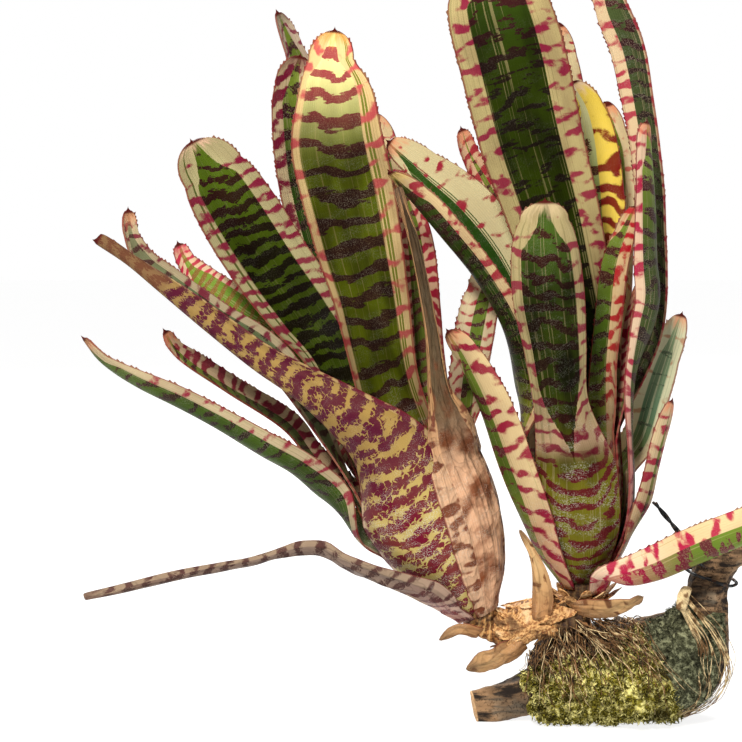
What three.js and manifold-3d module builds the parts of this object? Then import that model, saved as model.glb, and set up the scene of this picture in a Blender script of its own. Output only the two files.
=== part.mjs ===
// A banded neoregelia: two leaf rosettes joined by a short runner, rooted on a mossy piece of driftwood.
// Units are mm. X is to the right, Y is away from the viewer and Z is up from the resting surface. The origin
// is the middle of the flat under the driftwood's elbow.

import * as THREE from "three";
import { mergeVertices } from "three/addons/utils/BufferGeometryUtils.js";
import Module from "manifold-3d";

const wasm = await Module();
wasm.setup();

const group = new THREE.Group();
group.name = "neoregelia_on_driftwood";

// Driving dimensions

const leafThickness = 0.9;
const layerSpacing = 2.2; // from one leaf sheath to the next one round the same stem
const stemGap = 0.5; // between a leaf foot and the stem
const footStep = 3; // height on the stem from one layer's foot to the next
const mucroLength = 3.2; // the hard point at a leaf's end
const toothLength = 1.3; // spines on the leaf margins
const toothLean = 0.6; // how far a spine points ahead, as a share of its length
const marginWave = 0.7; // height of the waves along a blade's edge
const waveTurn = 1.9; // turn of that wave from one row of points to the next, in radians
const leafRoughness = 0.55;
const dryRoughness = 0.85;
const barkRoughness = 0.95;
const mossGap = 0.5; // between the moss or the root mat and the wood
const restClearance = 1.2; // least height of moss and roots above the resting surface
const elbowFlat = [22, 7]; // middle of that flat, across and away, while the parts are being built

// The plant was measured in a front view. Across and up are mm on the upright plane through the stems,
// seen from an eye on the height of its middle; a point nearer or farther lies on the same line of sight.
const eyeDistance = 850;
const eyeElevation = THREE.MathUtils.degToRad(6);
const sightAcross = -110;
const sightUp = 171;

const sightTarget = new THREE.Vector3(sightAcross, 0, sightUp);
const sightForward = new THREE.Vector3(0, Math.cos(eyeElevation), -Math.sin(eyeElevation));
const sightRise = new THREE.Vector3(0, Math.sin(eyeElevation), Math.cos(eyeElevation));
const eye = sightTarget.clone().addScaledVector(sightForward, -eyeDistance);

// The point on the line of sight through (across, up) that lies at the depth y.
function seen(across, up, y) {
  const ray = sightForward.clone().multiplyScalar(eyeDistance);
  ray.x += across - sightAcross;
  ray.addScaledVector(sightRise, up - sightUp);
  return eye.clone().addScaledVector(ray, (y - eye.y) / ray.y);
}

// A repeatable stream of numbers from 0 to 1.
function seeded(seed) {
  let state = seed;
  return function next() {
    state = (state * 16807) % 2147483647;
    return state / 2147483647;
  };
}

const radians = THREE.MathUtils.degToRad;
const mix = THREE.MathUtils.lerp;

// Uniform Catmull-Rom value through the numbers or vectors of a list, at u from 0 to its last place.
function smoothNumber(list, u) {
  const last = list.length - 1;
  const i = Math.min(Math.floor(u), last - 1);
  const t = u - i;
  const b = list[i];
  const c = list[i + 1];
  const a = i > 0 ? list[i - 1] : 2 * b - c;
  const d = i + 2 <= last ? list[i + 2] : 2 * c - b;
  const slopeIn = (c - a) / 2;
  const slopeOut = (d - b) / 2;
  const square = t * t;
  const cube = square * t;
  return (2 * cube - 3 * square + 1) * b + (cube - 2 * square + t) * slopeIn
    + (3 * square - 2 * cube) * c + (cube - square) * slopeOut;
}

function smoothVector(list, u) {
  return new THREE.Vector3(
    smoothNumber(list.map((v) => v.x), u),
    smoothNumber(list.map((v) => v.y), u),
    smoothNumber(list.map((v) => v.z), u),
  );
}

// Straight-line value of a table of [place, value] pairs.
function tableValue(table, place) {
  if (place <= table[0][0]) return table[0][1];
  for (let i = 1; i < table.length; i++) {
    const [to, high] = table[i];
    const [from, low] = table[i - 1];
    if (place <= to) return mix(low, high, (place - from) / (to - from));
  }
  return table[table.length - 1][1];
}

// Collects triangles and turns them into a geometry.
class Faces {
  constructor() {
    this.positions = [];
    this.indices = [];
  }

  point(v) {
    this.positions.push(v.x, v.y, v.z);
    return this.positions.length / 3 - 1;
  }

  triangle(a, b, c) {
    this.indices.push(a, b, c);
  }

  quad(a, b, c, d) {
    this.triangle(a, b, c);
    this.triangle(a, c, d);
  }

  geometry() {
    const made = new THREE.BufferGeometry();
    made.setAttribute("position", new THREE.Float32BufferAttribute(this.positions, 3));
    made.setIndex(this.indices);
    return made;
  }
}

// Solids for joining and cutting

function solidOf(geometry) {
  const bare = new THREE.BufferGeometry();
  const flat = geometry.index ? geometry.toNonIndexed() : geometry;
  bare.setAttribute("position", flat.getAttribute("position"));
  const merged = mergeVertices(bare, 1e-4);
  return new wasm.Manifold(new wasm.Mesh({
    numProp: 3,
    vertProperties: new Float32Array(merged.getAttribute("position").array),
    triVerts: new Uint32Array(merged.index.array),
  }));
}

function geometryOf(solid) {
  const mesh = solid.getMesh();
  const positions = [];
  for (let i = 0; i < mesh.vertProperties.length; i += mesh.numProp) {
    positions.push(mesh.vertProperties[i], mesh.vertProperties[i + 1], mesh.vertProperties[i + 2]);
  }
  const made = new THREE.BufferGeometry();
  made.setAttribute("position", new THREE.Float32BufferAttribute(positions, 3));
  made.setIndex(Array.from(mesh.triVerts));
  return made;
}

function joined(geometries) {
  let whole = solidOf(geometries[0]);
  for (const geometry of geometries.slice(1)) whole = whole.add(solidOf(geometry));
  return geometryOf(largestBody(whole));
}

function largestBody(solid) {
  return solid.decompose().sort((a, b) => b.volume() - a.volume())[0];
}

function addPiece(name, geometry, colour, roughness, metalness = 0) {
  geometry.translate(-elbowFlat[0], -elbowFlat[1], 0);
  geometry.computeVertexNormals();
  const material = new THREE.MeshStandardMaterial({ color: colour, roughness, metalness });
  const mesh = new THREE.Mesh(geometry, material);
  mesh.name = name;
  group.add(mesh);
}

// The two rosettes. Their leaf sheaths lie in layers round a stem, layer 0 outermost, and make a vase
// whose outer radius is given against the height above the stem's foot.
function rosette(foot, top, profile) {
  const axis = top.clone().sub(foot).normalize();
  const right = new THREE.Vector3(1, 0, 0);
  right.addScaledVector(axis, -right.dot(axis)).normalize();
  const back = axis.clone().cross(right);
  return { foot, axis, right, back, profile };
}

function layerRadius(plant, layer, height) {
  return tableValue(plant.profile, height) - layer * layerSpacing;
}

function outward(plant, azimuth) {
  return plant.right.clone().multiplyScalar(Math.cos(azimuth))
    .addScaledVector(plant.back, Math.sin(azimuth));
}

const leftPlant = rosette(seen(-58.5, 55.5, 0), seen(-98.5, 138, 0), [
  [0, 10], [10, 18], [20, 23.5], [30, 28], [45, 32.5], [60, 35], [80, 35.5], [100, 35.5],
]);
const rightPlant = rosette(seen(-8.5, 65.5, 0), seen(-11.5, 138, 0), [
  [0, 10], [8, 15], [17, 21.5], [29, 27.5], [40, 30.5], [55, 31.5], [75, 31], [95, 31],
]);

// Heights at which every sheath has a row of points, so that the layers run side by side.
const sheathLevels = [0, 4, 9, 15, 22, 31, 43, 57, 72, 88];

// A leaf is a bent strip. Each row across it is an arc with its own half length, half angle, and an inner
// side that looks along "inner". The rows of the sheath are arcs round the stem; the blade's come from a
// smooth curve through the keys [across, up, y, half length, half angle in degrees].
function sheathRows(plant, leaf) {
  const azimuth = radians(leaf.azimuth);
  const out = outward(plant, azimuth);
  const footHeight = leaf.layer * footStep;
  const heights = [footHeight];
  for (const level of sheathLevels) {
    if (level > footHeight + 2 && level < leaf.sheath - 2) heights.push(level);
  }
  heights.push(leaf.sheath);
  return heights.map((height) => {
    const radius = layerRadius(plant, leaf.layer, height);
    const closing = leaf.wrapTop ?? leaf.wrap;
    const angle = radians(mix(leaf.wrap, closing, height / leaf.sheath));
    return {
      centre: plant.foot.clone().addScaledVector(plant.axis, height).addScaledVector(out, radius),
      along: plant.axis.clone(),
      inner: out.clone().negate(),
      half: radius * angle,
      bend: 1 / radius,
    };
  });
}

function bladeKeys(keys, inner, innerTip, innerFoot) {
  const rows = keys.map(([across, up, y, half, angle], i) => {
    const share = keys.length > 1 ? i / (keys.length - 1) : 0;
    return {
      centre: seen(across, up, y),
      inner: i === 0 && innerFoot ? innerFoot : inner.clone().lerp(innerTip, share).normalize(),
      half,
      bend: radians(angle) / half,
    };
  });
  rows.forEach((row, i) => {
    const before = rows[Math.max(i - 1, 0)].centre;
    const after = rows[Math.min(i + 1, rows.length - 1)].centre;
    row.along = after.clone().sub(before).normalize();
  });
  return rows;
}

// Rows between the keys. The last span narrows like the end of an ellipse, and its edge waves fade out.
function bladeRows(keys, first, perSpan, tipSteps) {
  const rows = [];
  const last = keys.length - 1;
  const centres = keys.map((k) => k.centre);
  const alongs = keys.map((k) => k.along);
  const inners = keys.map((k) => k.inner);
  const halves = keys.map((k) => k.half);
  const angles = keys.map((k) => k.half * k.bend);
  for (let span = first; span < last; span++) {
    const atTip = span === last - 1;
    const steps = atTip ? tipSteps : perSpan;
    for (let step = 1; step <= steps; step++) {
      const t = atTip ? Math.sin((step / steps) * Math.PI / 2) : step / steps;
      const u = span + t;
      const taper = Math.sqrt(Math.max(0, 1 - t * t));
      const half = atTip ? mix(halves[last], halves[span], taper) : smoothNumber(halves, u);
      rows.push({
        centre: smoothVector(centres, u),
        along: smoothVector(alongs, u).normalize(),
        inner: smoothVector(inners, u).normalize(),
        half,
        bend: Math.max(0, smoothNumber(angles, u)) / half,
        wave: atTip ? taper * taper : 1,
      });
    }
  }
  return rows;
}

// Points of the strip's middle surface, row by row.
function stripPoints(rows, columns, waveSeed) {
  const random = seeded(waveSeed);
  const phases = [2 * Math.PI * random(), 2 * Math.PI * random()];
  return rows.map((row, i) => {
    const along = row.along;
    const inner = row.inner.clone().addScaledVector(along, -row.inner.dot(along)).normalize();
    const side = inner.clone().cross(along);
    const points = [];
    for (let j = 0; j <= columns; j++) {
      const place = (2 * j) / columns - 1;
      const angle = place * row.half * row.bend;
      const straight = Math.abs(angle) < 1e-5;
      const across = straight ? place * row.half : Math.sin(angle) / row.bend;
      const lift = straight ? 0 : (1 - Math.cos(angle)) / row.bend;
      const phase = phases[place < 0 ? 0 : 1];
      const ruffle = (row.wave ?? 0) * marginWave * Math.abs(place) ** 3 * Math.sin(i * waveTurn + phase);
      points.push(row.centre.clone().addScaledVector(side, across).addScaledVector(inner, lift + ruffle));
    }
    return points;
  });
}

function gridNormals(points) {
  const lastRow = points.length - 1;
  const lastColumn = points[0].length - 1;
  return points.map((row, i) => row.map((point, j) => {
    const acrossStep = row[Math.min(j + 1, lastColumn)].clone().sub(row[Math.max(j - 1, 0)]);
    const alongStep = points[Math.min(i + 1, lastRow)][j].clone().sub(points[Math.max(i - 1, 0)][j]);
    return acrossStep.cross(alongStep).normalize();
  }));
}

// A closed strip with a point at its far end and, on its blade, a spine on each stretch of the margin.
function stripGeometry(rows, columns, options) {
  const points = stripPoints(rows, columns, options.seed);
  const normals = gridNormals(points);
  const random = seeded(2 * options.seed);
  const faces = new Faces();
  const shift = leafThickness / 2;
  const outer = [];
  const inside = [];
  points.forEach((row, i) => {
    outer.push(row.map((point, j) => faces.point(point.clone().addScaledVector(normals[i][j], shift))));
    inside.push(row.map((point, j) => faces.point(point.clone().addScaledVector(normals[i][j], -shift))));
  });
  const last = rows.length - 1;
  for (let i = 0; i < last; i++) {
    for (let j = 0; j < columns; j++) {
      faces.quad(outer[i][j], outer[i][j + 1], outer[i + 1][j + 1], outer[i + 1][j]);
      faces.quad(inside[i][j], inside[i + 1][j], inside[i + 1][j + 1], inside[i][j + 1]);
    }
  }
  const spineAt = (i, j, towards) => {
    const middle = points[i][j].clone().lerp(points[i + 1][j], 0.5);
    const out = points[i][j].clone().sub(points[i][towards]).normalize();
    const ahead = points[i + 1][j].clone().sub(points[i][j]).normalize();
    const length = toothLength * mix(0.7, 1.3, random());
    return faces.point(middle.addScaledVector(out, length).addScaledVector(ahead, length * toothLean));
  };
  for (let i = 0; i < last; i++) {
    const spined = options.spines && rows[i].wave && i < last - 1;
    const left = [outer[i][0], outer[i + 1][0], inside[i + 1][0], inside[i][0]];
    const right = [outer[i][columns], inside[i][columns], inside[i + 1][columns], outer[i + 1][columns]];
    if (spined) {
      const leftTip = spineAt(i, 0, 1);
      const rightTip = spineAt(i, columns, columns - 1);
      for (let k = 0; k < 4; k++) {
        faces.triangle(left[k], left[(k + 1) % 4], leftTip);
        faces.triangle(right[k], right[(k + 1) % 4], rightTip);
      }
    } else {
      faces.quad(...left);
      faces.quad(...right);
    }
  }
  for (let j = 0; j < columns; j++) {
    faces.quad(outer[0][j], inside[0][j], inside[0][j + 1], outer[0][j + 1]);
  }
  const end = faces.point(rows[last].centre.clone().addScaledVector(rows[last].along, options.point));
  for (let j = 0; j < columns; j++) {
    faces.triangle(outer[last][j], outer[last][j + 1], end);
    faces.triangle(inside[last][j + 1], inside[last][j], end);
  }
  faces.triangle(inside[last][0], outer[last][0], end);
  faces.triangle(outer[last][columns], inside[last][columns], end);
  return faces.geometry();
}

const direction = ([x, y, z]) => new THREE.Vector3(x, y, z).normalize();

let leafCount = 0;

function addLeaf(plant, leaf) {
  leafCount += 1;
  const inner = direction(leaf.inner);
  const innerTip = direction(leaf.innerTip ?? leaf.inner);
  const sheath = sheathRows(plant, leaf);
  const innerFoot = leaf.innerFoot && direction(leaf.innerFoot);
  const blade = bladeKeys(leaf.blade, inner, innerTip, innerFoot);
  const lead = sheath.slice(-2);
  const keys = [...lead, ...blade];
  const between = blade[0].centre.clone().sub(lead[1].centre).normalize();
  blade[0].along.add(between).normalize();
  const rows = [...sheath, ...bladeRows(keys, 1, 1, leaf.tipSteps ?? 2)];
  const geometry = stripGeometry(rows, leaf.columns ?? 4, {
    seed: 100 + leafCount,
    spines: leaf.spines ?? true,
    point: mucroLength,
  });
  addPiece(leaf.name, geometry, leaf.colour, leafRoughness);
}

// A loose dry strip that grows from no rosette of its own.
function addScrap(scrap) {
  leafCount += 1;
  const keys = bladeKeys(scrap.blade, direction(scrap.inner), direction(scrap.innerTip ?? scrap.inner));
  const rows = [{ ...keys[0], wave: 1 }, ...bladeRows(keys, 0, 1, 2)];
  const geometry = stripGeometry(rows, scrap.columns ?? 3, {
    seed: 100 + leafCount,
    spines: false,
    point: scrap.point ?? 1.5,
  });
  addPiece(scrap.name, geometry, scrap.colour, dryRoughness);
}

// Colours
const leafGreen = 0x55702a;
const leafDark = 0x3f5523;
const leafPale = 0xb9c07a;
const leafYellow = 0xc9b654;
const leafMarbled = 0x7d5a3a;
const witheredTan = 0xa98258;
const witheredGrey = 0x857868;
const rhizomeBrown = 0x7a5632;
const rootTan = 0xa98f62;
const woodBrown = 0x6d5640;
const mossGreen = 0x8c9a3c;
const mossGrey = 0x5d6b4c;
const wireDark = 0x2f3233;

// Leaves of the left rosette, from its outermost layer inwards

addLeaf(leftPlant, {
  name: "left_withered_front", layer: -0.1, azimuth: 320, wrap: 50, wrapTop: 34, sheath: 72,
  inner: [-0.1, 1, 0.1], columns: 6, spines: false, colour: witheredTan,
  blade: [
    [-72.5, 148, -36, 11, 60], [-77, 163, -37, 6.5, 75], [-80, 186, -37, 4.5, 90],
    [-84, 209, -37, 4, 100], [-89, 233, -37, 3.4, 100], [-94, 249, -38, 2.6, 90], [-97, 259, -38, 1, 40],
  ],
});
addLeaf(leftPlant, {
  name: "left_withered_side", layer: 0, azimuth: 214, wrap: 40, wrapTop: 34, sheath: 9,
  inner: [0.1, 0.6, 0.8], columns: 4, spines: false, colour: witheredGrey,
  blade: [
    [-84, 62, -27, 10.5, 45], [-104, 69, -26, 9.5, 55], [-122, 76, -22, 9, 60],
    [-135, 83, -18, 7.5, 70], [-150, 82.5, -15, 5.5, 80], [-170, 77.5, -13, 4.5, 90],
    [-196, 72.5, -11, 4, 90], [-222, 66.5, -9, 3.5, 90], [-247, 61.5, -8, 1.2, 50],
  ],
});
addLeaf(leftPlant, {
  name: "left_leaf_marbled", layer: 1, azimuth: 260, wrap: 70, wrapTop: 60, sheath: 64,
  inner: [0.2, 0.9, 0.35], innerTip: [0.3, 0.6, 0.7], columns: 8, colour: leafMarbled,
  blade: [
    [-106, 129, -34.5, 27, 74], [-124, 145, -35, 20.5, 92], [-145, 161, -34, 15.5, 105],
    [-166, 174.5, -31, 13, 110], [-190, 193, -29, 11, 120], [-211, 210, -27, 8.5, 125],
    [-227, 223, -25, 6, 120], [-242, 233, -24, 3.5, 90],
  ],
});
addLeaf(leftPlant, {
  name: "left_leaf_lowest", layer: 1, azimuth: 152, wrap: 31, wrapTop: 30, sheath: 44,
  innerFoot: [0.75, -0.2, 0.6], inner: [0.3, 0.45, 0.85], columns: 5, colour: leafGreen,
  blade: [
    [-118.5, 95, 9, 15.6, 31], [-131, 110, 3, 15.6, 44], [-146, 122, -3, 15, 52], [-162, 131, -7, 15, 56],
    [-180, 142, -9, 14.5, 57], [-200, 153, -10, 13, 56], [-222, 164, -10, 10, 50],
    [-238.5, 175, -10, 6.5, 42], [-248, 186.5, -8, 1, 20],
  ],
});
addLeaf(leftPlant, {
  name: "left_leaf_far", layer: 1, azimuth: 85, wrap: 32, sheath: 70,
  inner: [0, -0.95, 0.3], columns: 4, spines: false, colour: leafGreen,
  blade: [
    [-97, 176, 60, 15, 40], [-99, 210, 84, 17, 35], [-104, 246, 100, 17, 32], [-108, 275, 108, 13, 30],
    [-111, 295, 112, 1, 20],
  ],
});
addLeaf(leftPlant, {
  name: "left_leaf_edge_on", layer: 2, azimuth: 98, wrap: 26, sheath: 76,
  inner: [0.1, -1, 0.1], innerTip: [0.75, -0.6, 0.2], columns: 4, colour: leafDark,
  blade: [
    [-109, 181, 52, 12, 40], [-121, 224, 68, 12, 40], [-132, 263, 75, 11.5, 40], [-140, 301, 76, 10, 40],
    [-148, 325, 74, 7, 40], [-155, 343, 70, 1, 20],
  ],
});
addLeaf(leftPlant, {
  name: "left_leaf_low", layer: 2, azimuth: 162, wrap: 18, sheath: 74,
  inner: [0.3, -0.5, 0.8], columns: 4, colour: leafPale,
  blade: [
    [-136, 128.5, 3, 7, 34], [-150, 146, 7, 8, 35], [-178, 163, 8, 7.5, 35], [-195, 174, 8, 7, 35],
    [-204, 182, 8, 5, 35], [-209, 190, 7, 1, 20],
  ],
});
addLeaf(leftPlant, {
  name: "left_leaf_right", layer: 2, azimuth: 10, wrap: 34, sheath: 76,
  inner: [-0.5, -0.8, 0.2], columns: 4, colour: leafPale,
  blade: [
    [-63, 163, 14, 11, 35], [-58.5, 191, 24, 11.5, 32], [-54.5, 210, 32, 10, 32], [-52.5, 226, 38, 1, 20],
  ],
});
addLeaf(leftPlant, {
  name: "left_leaf_shaded", layer: 3, azimuth: 129, wrap: 24, sheath: 80,
  inner: [0.3, -0.85, 0.4], columns: 4, colour: leafGreen,
  blade: [
    [-149, 181, 40, 12, 38], [-173, 200, 46, 11.5, 36], [-190, 212.5, 49, 9.5, 34],
    [-199, 223.5, 50, 6.5, 30], [-202.5, 232, 50, 1, 20],
  ],
});
addLeaf(leftPlant, {
  name: "left_leaf_hooked", layer: 3, azimuth: 183, wrap: 13, sheath: 81,
  inner: [0.35, -0.75, 0.55], columns: 4, colour: leafPale,
  blade: [
    [-153, 172, -2, 9.5, 40], [-187, 197, -6, 10, 42], [-208.5, 213.5, -9, 8.5, 45],
    [-219.5, 223.5, -9, 6.5, 50], [-225.5, 236, -9, 4.5, 50], [-226.5, 248, -9, 1, 20],
  ],
});
addLeaf(leftPlant, {
  name: "left_leaf_barred", layer: 4, azimuth: 100, wrap: 33, sheath: 82,
  inner: [0.15, -0.95, 0.1], columns: 4, colour: leafDark,
  blade: [
    [-119, 186, 41, 14, 48], [-132, 224.5, 50, 14.5, 36], [-140.5, 258, 54, 15, 30],
    [-144.5, 287, 54, 14.5, 28], [-147, 308, 53, 10, 26], [-144, 322, 51, 1, 20],
  ],
});
addLeaf(leftPlant, {
  name: "left_leaf_red_barred", layer: 5, azimuth: 35, wrap: 34, sheath: 84,
  inner: [-0.3, -0.9, 0.1], columns: 4, colour: leafMarbled,
  blade: [
    [-82.5, 172, 23, 11, 42], [-85, 200.5, 30, 10.5, 36], [-87.5, 229.5, 35, 9.5, 32],
    [-91, 248.5, 38, 6.5, 30], [-96, 263, 39, 1, 20],
  ],
});
addLeaf(leftPlant, {
  name: "left_leaf_broad", layer: 5, azimuth: 145, wrap: 40, sheath: 80,
  inner: [0.35, -0.9, 0.25], tipSteps: 3, columns: 5, colour: leafDark,
  blade: [
    [-126, 172, 24, 18.5, 52], [-143, 198, 30, 21.5, 40], [-158.5, 220, 32, 22.5, 34],
    [-175, 246, 33, 22, 30], [-187, 265.5, 33, 17.5, 28], [-196, 281, 32, 1, 16],
  ],
});
addLeaf(leftPlant, {
  name: "left_leaf_tall", layer: 6, azimuth: 78, wrap: 50, sheath: 84,
  inner: [-0.05, -1, 0.1], tipSteps: 3, columns: 5, colour: leafYellow,
  blade: [
    [-102, 166, 20, 18.5, 60], [-109.5, 205.5, 18, 20, 45], [-115, 229.5, 16, 22, 36],
    [-121, 257, 15, 23.5, 32], [-126, 281, 15, 23, 30], [-127, 305, 15, 20, 30],
    [-129, 320, 16, 14, 30], [-127.5, 334.5, 17, 1, 16],
  ],
});

// Leaves of the right rosette, from its outermost layer inwards

addLeaf(rightPlant, {
  name: "right_leaf_drooping", layer: 0, azimuth: 318, wrap: 38, wrapTop: 40, sheath: 8,
  inner: [-0.2, 0.55, 0.8], columns: 5, colour: leafPale,
  blade: [
    [9, 70, -24, 11.5, 45], [27, 74.5, -28, 13, 52], [45, 82.5, -32, 14, 55], [62, 89.5, -35, 14, 55],
    [78, 95.5, -37, 12.5, 52], [91, 99.5, -38, 9, 46], [103, 103, -38, 1, 20],
  ],
});
addLeaf(rightPlant, {
  name: "right_leaf_low_left", layer: 1, azimuth: 214, wrap: 29, wrapTop: 26, sheath: 28,
  inner: [0.55, 0.75, 0.3], columns: 4, colour: leafPale,
  blade: [
    [-35.5, 109.5, -21, 10.5, 32], [-43, 129, -21, 10.5, 34], [-50, 148, -20, 10.5, 36],
    [-57, 164.5, -19, 10, 38], [-65, 179, -17, 7.5, 42], [-73, 190, -14, 1, 20],
  ],
});
addLeaf(rightPlant, {
  name: "right_leaf_low_right", layer: 1, azimuth: 345, wrap: 26, wrapTop: 20, sheath: 26,
  inner: [-0.75, 0.6, 0.2], columns: 3, colour: leafPale,
  blade: [
    [22, 107, -9, 8, 34], [26.5, 124, -8, 8, 34], [30, 138, -5, 7, 34], [34.5, 156.5, 0, 1, 20],
  ],
});
addLeaf(rightPlant, {
  name: "right_leaf_outer_pale", layer: 1, azimuth: 40, wrap: 22, sheath: 54,
  inner: [-0.5, -0.75, 0.4], columns: 4, colour: leafPale,
  blade: [
    [19.5, 138, 22, 10.5, 34], [25.5, 157.5, 25, 10.5, 34], [31.5, 176.5, 28, 8.5, 34], [39, 198, 31, 1, 20],
  ],
});
addLeaf(rightPlant, {
  name: "right_leaf_narrow_back", layer: 1, azimuth: 84, wrap: 19, sheath: 70,
  inner: [0.1, -1, 0.2], columns: 3, spines: false, colour: leafPale,
  blade: [
    [-5, 191, 45, 9, 30], [-10, 244, 56, 9.5, 30], [-13.5, 287, 56, 9, 30], [-18, 321, 52, 7, 30],
    [-21.5, 338, 47, 1, 20],
  ],
});
addLeaf(rightPlant, {
  name: "right_leaf_far", layer: 1, azimuth: 130, wrap: 22, sheath: 66,
  inner: [0.1, -0.9, 0.4], columns: 4, spines: false, colour: leafGreen,
  blade: [
    [-23, 181, 50, 14, 36], [-27, 219, 74, 16, 34], [-31, 252, 90, 16, 32], [-34, 278, 98, 12, 30],
    [-36, 294, 101, 1, 20],
  ],
});
addLeaf(rightPlant, {
  name: "right_leaf_pale", layer: 2, azimuth: 66, wrap: 22, sheath: 72,
  inner: [-0.2, -0.95, 0.2], columns: 3, spines: false, colour: leafPale,
  blade: [
    [6, 191, 39, 8.5, 30], [8.5, 239, 46, 8.5, 30], [9, 268, 47, 8, 30], [6.5, 287, 47, 6, 30],
    [2, 300, 46, 1, 20],
  ],
});
addLeaf(rightPlant, {
  name: "right_leaf_front", layer: 2, azimuth: 262, wrap: 57, wrapTop: 44, sheath: 66,
  inner: [0, 1, 0.1], tipSteps: 3, columns: 6, colour: leafGreen,
  blade: [
    [-18, 153, -27, 14.5, 50], [-21, 181, -30, 16, 46], [-24, 205, -33, 18, 42], [-26, 229, -36, 17.5, 40],
    [-26.5, 243, -37, 13, 38], [-26.5, 252.5, -37.5, 1, 20],
  ],
});
addLeaf(rightPlant, {
  name: "right_leaf_side", layer: 2, azimuth: 353, wrap: 31, wrapTop: 23, sheath: 72,
  innerFoot: [-0.95, 0.25, 0.1], inner: [-0.75, 0.6, 0.2], columns: 4, colour: leafDark,
  blade: [
    [16.5, 167, -5, 9.5, 42], [23, 191, -6, 11.5, 44], [26.5, 207, -7, 12, 44], [25, 225, -7, 10.5, 42],
    [24, 253.5, -6, 9.5, 40], [23, 277.5, -4, 7.5, 38], [22.5, 290.5, -2, 1, 20],
  ],
});
addLeaf(rightPlant, {
  name: "right_leaf_arching", layer: 2, azimuth: 180, wrap: 21, sheath: 78,
  inner: [0.6, 0.45, 0.65], columns: 4, colour: leafGreen,
  blade: [
    [-36, 162, -1, 11.5, 40], [-44, 191, 0, 12.5, 45], [-57.5, 215, 2, 13, 48], [-74.5, 236.5, 3, 12.5, 48],
    [-89, 253.5, 1, 9.5, 44], [-101, 266.5, -3, 1, 20],
  ],
});
addLeaf(rightPlant, {
  name: "right_leaf_red_tip", layer: 2, azimuth: 128, wrap: 15, sheath: 76,
  inner: [0.2, -0.95, 0.2], columns: 3, colour: leafMarbled,
  blade: [
    [-25, 181, 34, 7, 30], [-38.5, 229.5, 43, 7, 30], [-53, 258, 46, 6.5, 30], [-62.5, 275, 47, 5, 30],
    [-66.5, 287, 46, 1, 20],
  ],
});
addLeaf(rightPlant, {
  name: "right_leaf_striped", layer: 3, azimuth: 150, wrap: 30, sheath: 76,
  inner: [0.3, -0.9, 0.3], columns: 4, colour: leafPale,
  blade: [
    [-26.5, 184, 17, 12, 44], [-38.5, 215, 20, 12.5, 34], [-50.5, 235.5, 22, 12.5, 28],
    [-66, 253.5, 24, 12, 24], [-84, 268, 25, 9.5, 22], [-101.5, 281, 24, 1, 16],
  ],
});
addLeaf(rightPlant, {
  name: "right_leaf_yellow", layer: 3, azimuth: 86, wrap: 23, sheath: 76,
  inner: [-0.1, -1, 0.1], columns: 4, colour: leafYellow,
  blade: [
    [2, 205.5, 29, 10.5, 34], [1.5, 244, 31, 11.5, 28], [-1.5, 277.5, 32, 10.5, 26],
    [-6, 296.5, 32, 8, 24], [-13.5, 309.5, 30, 1, 16],
  ],
});
addLeaf(rightPlant, {
  name: "right_leaf_upper_right", layer: 4, azimuth: 37, wrap: 25, sheath: 78,
  inner: [-0.6, -0.8, 0.1], columns: 4, colour: leafDark,
  blade: [
    [24.5, 191, 23, 8.5, 38], [25, 244, 27, 8.5, 32], [22.5, 277.5, 30, 8.5, 30], [19, 301.5, 30, 9, 30],
    [14, 325.5, 27, 9.5, 30], [6, 346, 22, 9, 30], [-1, 368.5, 17, 1, 16],
  ],
});
addLeaf(rightPlant, {
  name: "right_leaf_tallest", layer: 5, azimuth: 92, wrap: 50, sheath: 76,
  inner: [0.05, -1, 0.1], innerTip: [0.05, -0.9, -0.4], tipSteps: 3, columns: 5, colour: leafGreen,
  blade: [
    [-5, 167, 18, 16.5, 58], [-13.5, 205.5, 14, 20.5, 40], [-22.5, 244, 8, 23, 30], [-33.5, 282, 1, 25, 24],
    [-42.5, 320.5, -9, 25.5, 22], [-49.5, 345.5, -17, 24, 22], [-52.5, 358.5, -20, 19, 21],
    [-56, 372.5, -23, 1, 16],
  ],
});
addLeaf(rightPlant, {
  name: "right_leaf_young", layer: 5, azimuth: 0, wrap: 26, sheath: 74,
  inner: [-0.9, -0.2, 0.2], columns: 3, spines: false, colour: leafMarbled,
  blade: [
    [13.5, 167, 2, 6, 40], [14.5, 186.5, 2, 5.5, 36], [16, 202, 2, 4, 30], [18, 212.5, 3, 1, 20],
  ],
});
addLeaf(rightPlant, {
  name: "right_leaf_short_red", layer: 6, azimuth: 25, wrap: 36, sheath: 78,
  inner: [-0.5, -0.75, 0.2], columns: 4, colour: leafMarbled,
  blade: [
    [3, 172, 3, 8, 50], [4.5, 191, 0, 8, 42], [7.5, 220, -1, 7.5, 36], [13, 238, 1, 5.5, 32],
    [17.5, 250, 3, 1, 20],
  ],
});

// Dry leaf bases at the feet

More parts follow.
